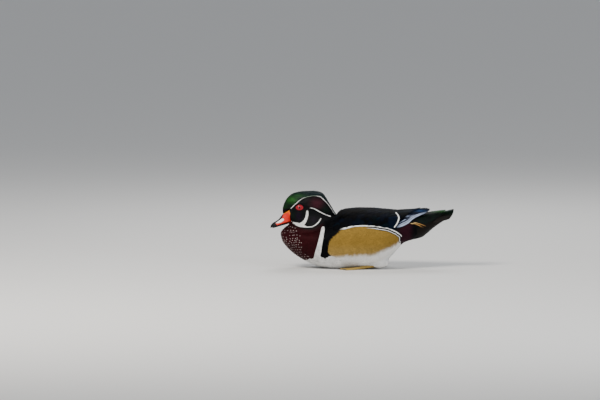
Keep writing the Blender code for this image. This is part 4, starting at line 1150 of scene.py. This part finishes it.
def paintFlank(where, t, c, number):
    y, z = where.T[1:]
    border = lineDistance(flankEdge[2:], y, z)
    border = np.where(z > heightOn(flankEdge[:-1], y), -border, border)
    jitter = 1 + 0.1 * (featherChance(number) - 0.5)
    warm = layered("buff", ("buffPale", step(0.06, 0.03, z) * 0.5)) * (jitter * (0.9 + 0.12 * t))[:, None]
    # the black bar cuts across the upper front corner
    corner = np.interp(z, (0.036, 0.0497, 0.06, 0.0692, 0.078, 0.0845),
                       (-0.0702, -0.069, -0.0659, -0.0581, -0.0477, -0.0412))
    ahead = step(0.0005, -0.0005, y - corner)
    under = np.interp(y, (-0.06, 0.02, 0.0456, 0.0638, 0.0785), (0.03, 0.034, 0.044, 0.051, 0.062))
    belly = step(0.003, -0.008, z - under + 0.003 * (featherChance(number, 2.0) - 0.5))
    mark = (1 - ahead) * step(0.0, 0.15, t) * (1 - belly * 0.8)
    return {"colour": layered(warm, ("black", ahead), ("white", belly * 0.95)), "mark": mark,
            "pale": within(border, 0.012)}


flank = {
    "rows": {"first": -0.07, "last": 0.064, "pitch": 0.0052, "across": 11, "length": 0.021, "half": 0.006,
             "bend": ((-0.07, -0.05, 0.04, 0.07), (0.75, 1.0, 1.0, 0.62))},
    "rim": {"first": -0.066, "last": 0.058, "pitch": 0.003, "length": 0.021, "half": 0.0028,
            "shares": (0.925, 0.965)},
    "barring": {"pitch": 0.00125, "wobble": 0.0016, "wobbleScale": 260.0, "breakScale": 420.0, "low": 0.25,
                "high": 0.75, "depth": 0.75},
    "stripes": {"begins": (-0.047, -0.036), "behind": (0.006, 0.026), "front": (-0.003, 0.0015),
                "rear": (-0.0012, 0.0008), "fine": (0.0036, 0.005), "black": 0.0056},
}
flankFeathers = featherMaterial("flankFeathers", 0.66, specular=0.05, vary=0.08, barring=flank["barring"],
                                stripes=flank["stripes"])
for side, sign in sides:
    y, length, half, share = lattice(**flank["rows"])
    batches = [regionVanes("flank", sign, y, length, half, 0.01 + 0.9 * share, paintFlank)]
    # close rows of narrow feathers make the clean upper edge
    rim = flank["rim"]
    y = np.arange(rim["first"], rim["last"], rim["pitch"] * sparse)
    batches += [regionVanes("flank", sign, y, rim["length"], rim["half"], share, paintFlank, jitter=0.0001,
                            rise=(-0.0004, 0.0012)) for share in rim["shares"]]
    coatPiece("flankCoat_" + side, batches, flankFeathers, ("flank_" + side,))
print("flanks done")


# Mantle

def backTone(where, number, *layers):
    # black with patches of navy, teal and bronze gloss, feather by feather; the navy and teal patches are partly the
    # back's own iridescence and partly painted sheen
    chance = featherChance(number)
    bronze = step(0.1, 0.118, where[:, 2]) * step(0.03, -0.03, where[:, 1])
    colour = layered("black", ("navy", step(0.35, 0.9, chance) * 0.45),
                     ("teal", step(0.75, 1.0, featherChance(number, 5.0)) * 0.25), ("bronze", bronze * 0.6), *layers)
    return {"colour": colour, "gloss": 0.02 + 0.03 * chance}


def paintCovert(where, t, c, number):
    painted = backTone(where, number)
    return {**painted, "colour": painted["colour"] * (0.8 + 0.35 * t)[:, None]}


mantle = {"first": -0.062, "last": 0.056, "pitch": 0.0064, "across": 9, "length": 0.023, "half": 0.0068,
          "bend": ((-0.062, -0.03, 0.02, 0.055), (0.7, 0.9, 1.15, 1.35))}
backFeathers = featherMaterial("backFeathers", 0.58, barb=0.0005, specular=0.02, band=0.0012)
y, length, half, share = lattice(**mantle)
share = 0.5 + (share - 0.5) * np.interp(y, (-0.06, 0.03, 0.055), (1.0, 1.0, 0.72))
batch = regionVanes("mantle", 1.0, y, length, half, share, paintCovert, rows=10)
coatPiece("mantleCoat", [batch], backFeathers, ("mantle",))
print("mantle done")


# Wings

def crescentAt(where):
    # how far in front of or behind the white crescent's middle, and how strongly it shows
    heights, places = np.array(sorted((z, y) for y, z in crescent)).T
    z = where[:, 2]
    shown = step(heights[0] - 0.002, heights[0], z) * step(heights[-1] + 0.0016, heights[-1] - 0.0004, z)
    return {"pale": within(where[:, 1] - np.interp(z, heights, places)), "mark": shown}


def paintSecondary(where, t, c, number):
    return {**backTone(where, number, ("blue", step(0.2, 0.6, t) * 0.06)), **crescentAt(where)}


def paintTertial(where, t, c, number):
    blue = patches(where, ("blue", 0.8, 0.118, 0.117, 0.012, 0.0026))
    return {**backTone(where, number, *blue), **crescentAt(where)}


silverTop = ((0.06, 0.09), (0.0765, 0.097), (0.0828, 0.1012), (0.0937, 0.107), (0.1073, 0.1105), (0.1209, 0.114),
             (0.1345, 0.116))


def paintPrimary(where, t, c, number):
    # the outer webs show silver up to the line where the tertials shade them; the inner webs are black
    y, z = where.T[1:]
    outer = step(0.98, 0.8, c) * step(-0.3, -0.05, c)
    streaks = 0.72 + 0.28 * np.sin(c * 11 + number * 2.0)
    silver = outer * step(0.0006, -0.0006, z - heightOn(silverTop, y)) * streaks * step(0.1, 0.25, t)
    high = patch(where, 0.086, 0.1075, 0.008, 0.0012)
    colour = layered("navy", ("silver", np.maximum(silver, high * 0.8)),
                     ("blue", step(0.118, 0.134, y) * silver * 0.5),
                     *patches(where, ("blue", 0.8, 0.118, 0.117, 0.011, 0.0022)))
    return {"colour": colour, "gloss": 0.06 + 0.06 * outer}


wing = {
    "flight": (
        {"root": 0.056, "tips": (0.129, 0.134, 0.1372, 0.1372, 0.1345, 0.131), "half": 0.0052,
         "share": (0.08, 0.19, 0.3, 0.42, 0.54, 0.64), "tipShare": (0.1, 0.24, 0.38, 0.54, 0.7, 0.84),
         "paint": paintPrimary, "outline": "long", "rows": 22, "rise": (-0.0018, 0.001), "camber": 0.03,
         "thick": 0.0004, "jitter": 0.0},
        {"root": 0.03, "tips": (0.068, 0.069, 0.0714, 0.0732, 0.0747, 0.0759, 0.0765), "half": 0.0058,
         "share": (0.06, 0.15, 0.24, 0.33, 0.42, 0.51, 0.6),
         "paint": paintSecondary, "outline": "broad", "rows": 16, "rise": (-0.0008, 0.0013), "camber": 0.05,
         "thick": 0.0003},
        {"root": 0.036, "tips": (0.093, 0.103, 0.112, 0.118), "half": 0.0085,
         "share": (0.62, 0.72, 0.82, 0.9), "tipShare": (0.58, 0.72, 0.84, 0.93),
         "paint": paintTertial, "outline": "long", "rows": 20, "rise": (-0.0006, 0.0019), "camber": 0.05,
         "thick": 0.0004, "jitter": 0.0},
    ),
    "coverts": {"first": -0.06, "last": 0.026, "pitch": 0.007, "across": 4, "length": 0.023, "half": 0.0066,
                "bend": ((-0.06, -0.03, 0.026), (0.65, 0.9, 1.2))},
}


def flightFeathers(sign, root, tips, **shape):
    return regionVanes("wing", sign, root, np.array(tips) - root, columns=7, **shape)


for side, sign in sides:
    batches = [flightFeathers(sign, **shape) for shape in wing["flight"]]
    batches.append(regionVanes("wing", sign, *lattice(**wing["coverts"]), paintCovert, rows=10,
                               rise=(-0.0008, 0.0016)))
    coatPiece("wingCoat_" + side, batches, backFeathers, ("wing_" + side,))
print("wings done")


# Plumes behind the flank

def paintSmallPlume(where, t, c, number):
    # maroon close to the flank, black further back
    colour = layered("rump", ("black", step(0.092, 0.106, where[:, 1])))
    return {"colour": colour * (0.8 + 0.4 * t)[:, None], "gloss": 0.08}


def paintLongPlume(where, t, c, number):
    warm = layered("orange", ("straw", step(0.55, 0.15, t))) * (0.75 + 0.5 * featherChance(number))[:, None]
    return {"colour": layered(warm, ("umber", step(0.75, 1.0, t) * 0.7), ("umber", step(0.15, 0.0, t)))}


plumes = {
    "small": {"first": 0.074, "last": 0.093, "pitch": 0.0036, "across": 8, "length": 0.017, "half": 0.0036},
    # the two bundles of long buff plumes: y and angle along each
    "bundles": (((0.089, 0.096, 0.1048, 0.1126, 0.121), (20.0, 18.5, 14.8, 4.0, -9.0)),
                ((0.1, 0.1073, 0.1164, 0.1215, 0.1265), (20.5, 17.7, 7.2, 0.0, -9.5))),
}
plumeFeathers = featherMaterial("plumeFeathers", 0.62, barb=0.0006, specular=0.05)


def longPlumes(sign, ys, angles, half=0.0004, count=3, rows=14, apart=2.2):
    # plumes side by side along the bundle's line, fanning out with t and arched by sin(0.6 pi t)
    t, places = np.linspace(0, 1, rows), np.linspace(0, 1, len(ys))
    each = (count, 1)
    spread = apart * (np.arange(count)[:, None] - 1.0) + dice.normal(0, 0.25, each)
    y = np.interp(t, places, ys) + 0.0008 * dice.normal(0, 1.0, each) * t
    angle = np.interp(t, places, angles) + spread * (0.25 + 0.5 * t)
    lift = 0.0012 + 0.0022 * np.sin(t * math.pi * 0.6) + 0.0003 * dice.random(each)
    flip = (sign, 1.0, 1.0)
    return vanes(trunk.point(y, angle, lift) * flip, trunk.normal(y, angle) * flip,
                 np.tile(half * np.interp(t, *outlines["plume"]), each), paintLongPlume, camber=0.1)


for side, sign in sides:
    batches = [regionVanes("plume", sign, *lattice(**plumes["small"]), paintSmallPlume, rows=8, columns=3)]
    batches += [longPlumes(sign, *bundle) for bundle in plumes["bundles"]]
    coatPiece("plumeCoat_" + side, batches, plumeFeathers, ("side_plumes_" + side,))
print("plumes done")


# Tail: root and tip of the middle and the outer pair, and how the pairs between them bend away

tail = {
    "pairs": 7, "rows": 18, "bend": np.array((1.0, 2.4, 1.25)), "width": (0.014, 0.011), "roll": (4.0, 48.0),
    "middle": np.array(((0.0022, 0.135, 0.1075), (0.0045, 0.1855, 0.1194))),
    "outer": np.array(((0.012, 0.125, 0.0915), (0.0235, 0.1785, 0.1055))),
    "coverts": {"first": 0.102, "last": 0.153, "pitch": 0.0056, "around": 26, "half": 0.0052, "end": 0.1695,
                "over": 0.022, "under": 0.025},
}


def paintTail(where, t, c, number):
    y, z = where.T[1:]
    over = step(0.105, 0.115, z)
    # green along the top edge of the tail, fading out before the tip: painted sheen
    green = step(0.11, 0.118, z) * step(0.181, 0.166, y) * 0.4
    return {"colour": layered("umber", ("bottle", over), ("green", green)), "gloss": 0.04 + 0.1 * over}


def paintTailCovert(where, t, c, number):
    y, z = where.T[1:]
    over = step(-0.006, 0.004, z - trunk.level(y))
    dark = layered("black", ("bottle", featherChance(number) * 0.8))
    colour = mix(ink["umber"] * (0.7 + 0.5 * t)[:, None], dark, over[:, None])
    # maroon under the front of the coverts; the green along the top of the upper coverts towards the tail is painted
    # sheen
    colour = layered(colour, ("rump", step(0.112, 0.103, y) * (1 - over) * 0.8),
                     ("green", step(0.112, 0.115, z) * step(0.125, 0.14, y) * 0.6))
    return {"colour": colour, "gloss": 0.04 + 0.06 * over}


def tailFeathers():
    # a feather's line is root + (tip - root) t; its vane leans outwards by the roll
    t = np.linspace(0, 1, tail["rows"]) ** 0.9
    centres, normals, halves = [], [], []
    for _, sign in sides:
        for share in np.linspace(0, 1, tail["pairs"]):
            shares = (share, share ** tail["bend"])
            root, tip = (mix(*ends) for ends in zip(tail["middle"], tail["outer"], shares))
            line = root + (tip - root) * t[:, None]
            roll = math.radians(mix(*tail["roll"], share))
            # the right half lies a hair lower, so that the middle pair doesn't coincide
            centres.append(line * (sign, 1, 1) - (0, 0, 0.00015 * (sign < 0)))
            normals.append(np.broadcast_to((math.sin(roll) * sign, 0.0, math.cos(roll)), line.shape))
            halves.append(mix(*tail["width"], share) / 2 * np.interp(t, *outlines["tail"]))
    return vanes(*map(np.array, (centres, normals, halves)), paintTail, 7, 0.05, 0.0005)


def tailCoverts(first, last, pitch, around, half, end, over, under):
    # rows of smaller feathers over and under the root
    ys = np.arange(first, last, pitch)
    root = np.repeat(ys, around)[:, None]
    angle = ((np.arange(around) + 0.5 * (np.arange(len(ys)) % 2)[:, None]) * 360.0 / around).reshape(-1, 1)
    length = np.where(np.sin(np.radians(angle)) > 0, over, under) * np.interp(root, (0.1, last), (1.0, 0.75))
    angle = angle + dice.normal(0, 1.5, angle.shape)
    t = np.linspace(0, 1, 9)
    reach = root + length * t
    y = np.minimum(reach, end)
    lift = -0.0004 + 0.0016 * t + 0.0003 * dice.random(root.shape)
    lift = lift + 0.0018 * step(0.122, 0.142, y) * np.maximum(np.sin(np.radians(angle)), 0)
    halves = half * np.interp(root, (0.1, last), (1.0, 0.55)) * np.interp(t, *outlines["round"])
    centres = trunk.point(y, angle, lift)
    centres[..., 1] += np.maximum(reach - end, 0)
    return vanes(centres, trunk.normal(y, angle), halves, paintTailCovert, 3, 0.1, pointwise=False)


batches = [tailFeathers(), tailCoverts(**tail["coverts"])]
coatPiece("tailCoat", batches, featherMaterial("tailFeathers", 0.5, barb=0.0005, specular=0.08), ("tail",))
print("tail done")


# Bill

billMaterial = paintedMaterial("billHorn", 0.42, 900.0, 0.25, 0.0002, coat=0.06, vary=0.06, specular=0.2)
# white patch behind the nostril, black edge of the ridge, border with the feathers, black edge of the tip
billWhite = ((-0.1752, 0.0926, 0.0013), (-0.1705, 0.094, 0.0027), (-0.1655, 0.0962, 0.0032),
             (-0.1608, 0.0984, 0.0022))
billRidge = ((-0.186, 0.085), (-0.178, 0.089), (-0.174, 0.0922), (-0.17, 0.095), (-0.165, 0.0988),
             (-0.162, 0.1026), (-0.1605, 0.1085))
billBorder = ((-0.162, 0.1088), (-0.1605, 0.1093), (-0.145, 0.1193), (-0.146, 0.11), (-0.1463, 0.102),
              (-0.144, 0.095))
billTip = (0.083, 0.088, 0.092), (-0.171, -0.1733, -0.1765)
nostril = {"centre": (-0.1618, 0.1005), "reach": (0.003, 0.0013), "deep": 0.0014}
# sideways reach of the face along the bill's border
borderHeights = np.linspace(0.0945, 0.119, 20)
borderReach = skinReach(np.stack([np.full(20, 0.01), np.interp(borderHeights, *faceEdge) + 0.0012, borderHeights],
                                 axis=-1))


def paintUpperBill(p):
    y, z = p.T[1:]
    # orange then yellow against the feathers, brightest at the top corner
    seam = lineDistance(billBorder, y, z)
    lip = step(0.0012, 0.0006, z - upperForm.under(y))
    return layered(
        "billRed",
        ("billPink", step(0.104, 0.094, z) * 0.55),
        ("billOrange", step(0.01, 0.003, np.hypot(y + 0.1475, z - 0.118))),
        ("billYellow", step(0.0014, 0.0005, seam) * step(0.106, 0.114, z) * 0.7),
        ("billWhite", step(0.0007, -0.0007, lineDistance(billWhite, y, z))),
        ("black", step(-0.0005, 0.0005, z - heightOn(billRidge, y)) * step(-0.1596, -0.1606, y)),
        ("black", step(0.0006, -0.0006, y - np.interp(z, *billTip))),
        ("billDark", lip * step(-0.1775, -0.174, y)),
    )


def shapeUpper(ring):
    # lies on the face beside the forehead, with nostril slots, a raised nail at the tip
    # and a soft groove above the cutting edge
    x, y, z = ring.T
    side = np.sign(x)
    if y[0] > -0.1605:
        ahead = faceAhead(ring)
        # flush with the face along the border, and under its feathers behind it
        face = np.interp(z, borderHeights, borderReach) + 0.0004
        flush = step(0.008, 0.0008, ahead) * step(0.093, 0.096, z) * (np.abs(x) > 0.0005)
        wide = face * np.minimum(np.abs(x) / np.maximum(upperForm.half(y), 0.001), 1.0)
        wide = mix(np.abs(x), wide, flush)
        sunk = np.minimum(wide, np.maximum(skinReach(ring) - 0.0006, 0.0002))
        x = side * np.where((ahead < 0) | (underRoof(ring) < 0), sunk, wide)
    slot = sum(((v - middle) / reach) ** 2 for v, middle, reach in zip((y, z), nostril["centre"], nostril["reach"]))
    groove = np.exp(-((z - upperForm.under(y) - 0.0034) / 0.0008) ** 2) * (y > -0.178)
    x = x - side * (nostril["deep"] * np.exp(-slot * 1.6) + 0.0003 * groove)
    nail = np.exp(-((y + 0.1815) / 0.003) ** 2) * np.exp(-(x / 0.0032) ** 2)
    return np.stack([x, y, z + 0.00035 * nail * (z > upperForm.level(y))], axis=-1)


def paintLowerBill(p):
    return layered("black", ("billDark", step(-0.16, -0.15, p[:, 1])))


def billPiece(name, form, rows, columns, paint, node, shape=lambda ring: ring):
    # rings of the form at y = first + (last - first) s^1.1, closer together towards the tip
    rings = form.rings(mix(form.first, form.last, np.linspace(0, 1, rows) ** 1.1), columns)
    points, faces = closedTriangles(np.stack([shape(ring) for ring in rings]))
    newPiece(name, points, faces, billMaterial, (node,), paint(points), sharp=50)


billPiece("billUpper", upperForm, 150, 128, paintUpperBill, "bill_upper", shapeUpper)
billPiece("billLower", lowerForm, 60, 64, paintLowerBill, "bill_lower")
print("bill done")


# Eyes and lids

lid = {"middle": eye["lid"], "halfY": 0.0058, "halfZ": 0.0049, "thick": 0.00125, "rows": 120, "columns": 20,
       "flatAt": 138, "flat": 0.12}
eyeMaterial = paintedMaterial("eyeGloss", 0.1, 1500.0, 0.0, 0.0001, coat=0.7, vary=0.15, specular=0.05)
lidMaterial = paintedMaterial("lidSkin", 0.55, 2600.0, 0.6, 0.0002, vary=0.2, specular=0.2)


def paintEye(p):
    away = np.hypot(*(p - eye["centre"])[:, 1:].T)
    return layered("iris", ("irisEdge", step(0.0034, 0.0052, away)), ("pupil", step(0.0022, 0.0019, away)))


def eyeball(side, sign):
    centre = eye["centre"] * (sign, 1, 1)
    # the poles lie along x, so that the rows circle the pupil
    rings = ball(64, 96)[..., [2, 0, 1]] * (sign, 1, sign) * eye["radius"] + centre
    points = rings.reshape(-1, 3)
    newPiece("eyeBall_" + side, points, outward(points, gridQuads(64, 96), centre), eyeMaterial,
             ("eye_" + side,), paintEye(points))


def eyelid(side, sign):
    # a soft ring, a little pointed in front and behind, lying on the ball and the face: an ellipse times
    # 1 + thick / 0.006 cos(roll), raised by 0.75 thick sin(roll)
    rows, columns = lid["rows"], lid["columns"]
    turn = np.linspace(0, 2 * math.pi, rows, endpoint=False)[:, None]
    roll = np.linspace(0, 2 * math.pi, columns, endpoint=False)
    # flattened above in front, beside the white brow
    flat = 1 - lid["flat"] * np.exp(-((turn - math.radians(lid["flatAt"])) / 0.55) ** 2)
    halfY = lid["halfY"] * (1 + 0.06 * np.cos(turn) ** 4) * flat
    halfZ = lid["halfZ"] * (1 + 0.05 * np.sin(turn)) * flat
    thick = lid["thick"] + 0.00025 * np.cos(2 * turn) + 0.00012 * np.cos(23 * turn)
    out = 1 + thick / 0.006 * np.cos(roll)
    y = lid["middle"][1] + halfY * out * np.cos(turn)
    z = lid["middle"][2] + halfZ * out * np.sin(turn)
    away = np.hypot(y - eye["centre"][1], z - eye["centre"][2])
    onBall = eye["centre"][0] + np.sqrt(np.maximum(eye["radius"] ** 2 - away ** 2, 0.0))
    bed = np.maximum(onBall, headForm.half(y) * 0.985 - 0.0002)
    rings = np.stack([(bed + thick * 0.75 * np.sin(roll) + 0.0001) * sign, y, z], axis=-1)
    points = rings.reshape(-1, 3)
    quads = gridQuads(rows + 1, columns) % len(points)
    inner = np.tile(step(0.0, -0.8, np.cos(roll)), rows)
    newPiece("lid_" + side, points, outward(points, quads, rings.mean(axis=1)[quads[:, 0] // columns]), lidMaterial,
             ("eyelid_" + side,), layered("lid", ("lidPink", inner * 0.6)))


for side, sign in sides:
    eyeball(side, sign)
    eyelid(side, sign)
print("eyes done")


# Feet

foot = {
    "heel": (0.034, 0.033, 0.0075), "root": (0.0395, -0.001, 0.0042),
    "tips": ((0.029, -0.037), (0.0455, -0.045), (0.06, -0.034)), "hallux": (0.027, 0.011, 0.0013),
    "shank": 0.0026, "toe": 0.0021, "tip": 0.0014, "halluxRadii": (0.0018, 0.0007),
    "claw": 0.0055, "clawRadii": (0.0012, 0.0002), "web": 0.001, "webLow": 0.0008, "dip": 0.86,
}
footMaterial = paintedMaterial("footSkin", 0.55, 1400.0, 0.7, 0.0003, vary=0.22)
clawMaterial = paintedMaterial("clawHorn", 0.35, 900.0, 0.3, 0.0001, vary=0.15)


def bell(t, middle, width):
    return np.exp(-((t - middle) / width) ** 2)


def bar(line, radii, columns=16):
    # a closed rod, line + radius (across cos + rise sin), flat where it would pass below the floor
    way = unit(np.gradient(line, axis=0))
    across = unit(np.cross(way, (0.0, 0.0, 1.0)))
    turn = (np.arange(columns) * 2 * math.pi / columns)[:, None]
    around = across[:, None] * np.cos(turn) + np.cross(across, way)[:, None] * np.sin(turn)
    rings = line[:, None] + radii[:, None, None] * around
    rings[..., 2] = np.maximum(rings[..., 2], 0.0)
    return closedTriangles(rings)


def toe(root, tip):
    # a straight line that sinks by sin(pi t) towards its middle
    t = np.linspace(0, 1, 28)
    line = root + (tip - root) * t[:, None]
    line[:, 2] -= 0.0009 * np.sin(t * math.pi)
    # toe joints swell at a third and two thirds
    swellings = 0.0002 * (bell(t, 0.36, 0.05) + bell(t, 0.68, 0.05))
    return bar(line, foot["toe"] + 0.0004 * (1 - t) - (foot["toe"] - foot["tip"]) * t + swellings)


def claw(root, tip):
    # a thin cone that starts inside the toe's tip and arches by sin(0.8 pi s)
    s = np.linspace(0, 1, 14)
    way = unit(tip - root)
    hook = tip + way * ((foot["claw"] + 0.002) * s - 0.002)[:, None]
    hook[:, 2] += 0.0012 * np.sin(s * math.pi * 0.8) - 0.001 * s
    return bar(hook, mix(*foot["clawRadii"], s), 12)


def web(root, tips, rows=16, columns=33):
    # a fan root + (reach - root) dip s with its edge drawn in between two toes by sin(pi t)
    share = np.linspace(0, 2, columns)
    first = np.minimum(share.astype(int), 1)
    t = (share - first)[:, None]
    reach = mix(tips[first], tips[first + 1], t)
    dip = 1 - (1 - foot["dip"]) * np.sin(math.pi * t)
    s = np.linspace(0.06, 1, rows)[:, None, None]
    grid = root + (reach - root) * dip * 0.97 * s
    sag = 0.0003 * np.sin(math.pi * t[:, 0]) * s[..., 0]
    top, low = grid.copy(), grid.copy()
    top[..., 2] = foot["webLow"] + foot["web"] * 1.1 - sag
    low[..., 2] = foot["webLow"] - sag * 0.5
    count = rows * columns
    border = np.concatenate([np.arange(columns), np.arange(2, rows) * columns - 1, count - 1 - np.arange(columns),
                             np.arange(rows - 2, 0, -1) * columns])
    after = np.roll(border, -1)
    rim = np.stack([border + count, after + count, after, border], axis=-1)
    quads = gridQuads(rows, columns, False)
    points = np.concatenate([low.reshape(-1, 3), top.reshape(-1, 3)])
    return points, outward(points, halved(np.concatenate([quads, quads[:, [0, 3, 2, 1]] + count, rim])))


for side, sign in sides:
    flip = (sign, 1.0, 1.0)
    root, heel, hallux = (np.array(foot[key]) * flip for key in ("root", "heel", "hallux"))
    tips = np.array([(*tip, foot["tip"] * 0.9) for tip in foot["tips"]]) * flip
    t = np.linspace(0, 1, 30)
    shank = bar(heel + (root - heel) * t[:, None],
                foot["shank"] + 0.0007 * bell(t, 0.02, 0.12) + 0.0005 * bell(t, 1, 0.15), 20)
    back = bar(root + (hallux - root) * np.linspace(0, 1, 12)[:, None], np.linspace(*foot["halluxRadii"], 12), 12)
    parts = [shank, *(toe(root, tip) for tip in tips), back, web(root, tips)]
    points, faces = joinParts(parts)
    colour = np.repeat([ink["foot"], ink["web"]], (len(points) - len(parts[-1][0]), len(parts[-1][0])), axis=0)
    newPiece("footSkin_" + side, points, faces, footMaterial, ("foot_" + side,), colour, sharp=45)
    points, faces = joinParts([claw(root, tip) for tip in tips])
    newPiece("claws_" + side, points, faces, clawMaterial, (), np.tile(ink["claw"], (len(points), 1)), sharp=45)
print("feet done")


# Stage, light and camera

stage = {"half": 60.0, "points": 25, "colour": (0.72, 0.71, 0.69, 1.0), "sky": (0.86, 0.9, 0.96, 1.0), "glow": 0.5}
# place, target, size, power and colour of each light
lights = {
    "keyLight": ((1.3, -1.1, 1.7), (0, -0.02, 0.07), 0.9, 56.0, (1.0, 0.96, 0.9)),
    "fillLight": ((1.6, 1.3, 0.9), (0, 0.0, 0.07), 1.4, 16.0, (0.92, 0.96, 1.0)),
    "rimLight": ((-1.2, 0.2, 1.5), (0, 0.0, 0.08), 1.0, 14.0, (1.0, 1.0, 1.0)),
}
view = {"aim": (0.0, -0.126, 0.1376), "elevation": 5.0, "distance": 13.5, "lens": 400.0, "sensor": 36.0,
        "far": 200.0}


def stageFloor():
    # a wide pale floor all round the bird
    line = np.linspace(-stage["half"], stage["half"], stage["points"])
    x, y = np.meshgrid(line, line)
    mesh = bpy.data.meshes.new("floor")
    quads = gridQuads(stage["points"], stage["points"], False)
    mesh.from_pydata(np.stack([x, y, 0 * x], axis=-1).reshape(-1, 3).tolist(), [], quads.tolist())
    mesh.materials.append(Material("paleFloor", Base_Color=stage["colour"], Roughness=0.85,
                                   Specular_IOR_Level=0.2).material)
    addObject("floor", mesh)


def aimed(name, data, place, target):
    made = addObject(name, data)
    made.location = place
    made.rotation_euler = (Vector(target) - Vector(place)).to_track_quat("-Z", "Y").to_euler()
    return made


def areaLight(name, place, target, size, power, colour):
    light = bpy.data.lights.new(name, "AREA")
    light.shape = "DISK"
    light.size, light.energy, light.color = size, power, colour
    aimed(name, light, place, target)


def studio():
    world = bpy.data.worlds.new("studio")
    world.use_nodes = True
    sky = world.node_tree.nodes["Background"]
    sky.inputs[0].default_value, sky.inputs[1].default_value = stage["sky"], stage["glow"]
    bpy.context.scene.world = world
    for name, values in lights.items():
        areaLight(name, *values)
    camera = bpy.data.cameras.new("camera")
    camera.lens, camera.sensor_width, camera.clip_end = view["lens"], view["sensor"], view["far"]
    rise = math.radians(view["elevation"])
    away = Vector((math.cos(rise), 0.0, math.sin(rise))) * view["distance"]
    bpy.context.scene.camera = aimed("camera", camera, Vector(view["aim"]) + away, view["aim"])


stageFloor()
studio()
print("scene ready")
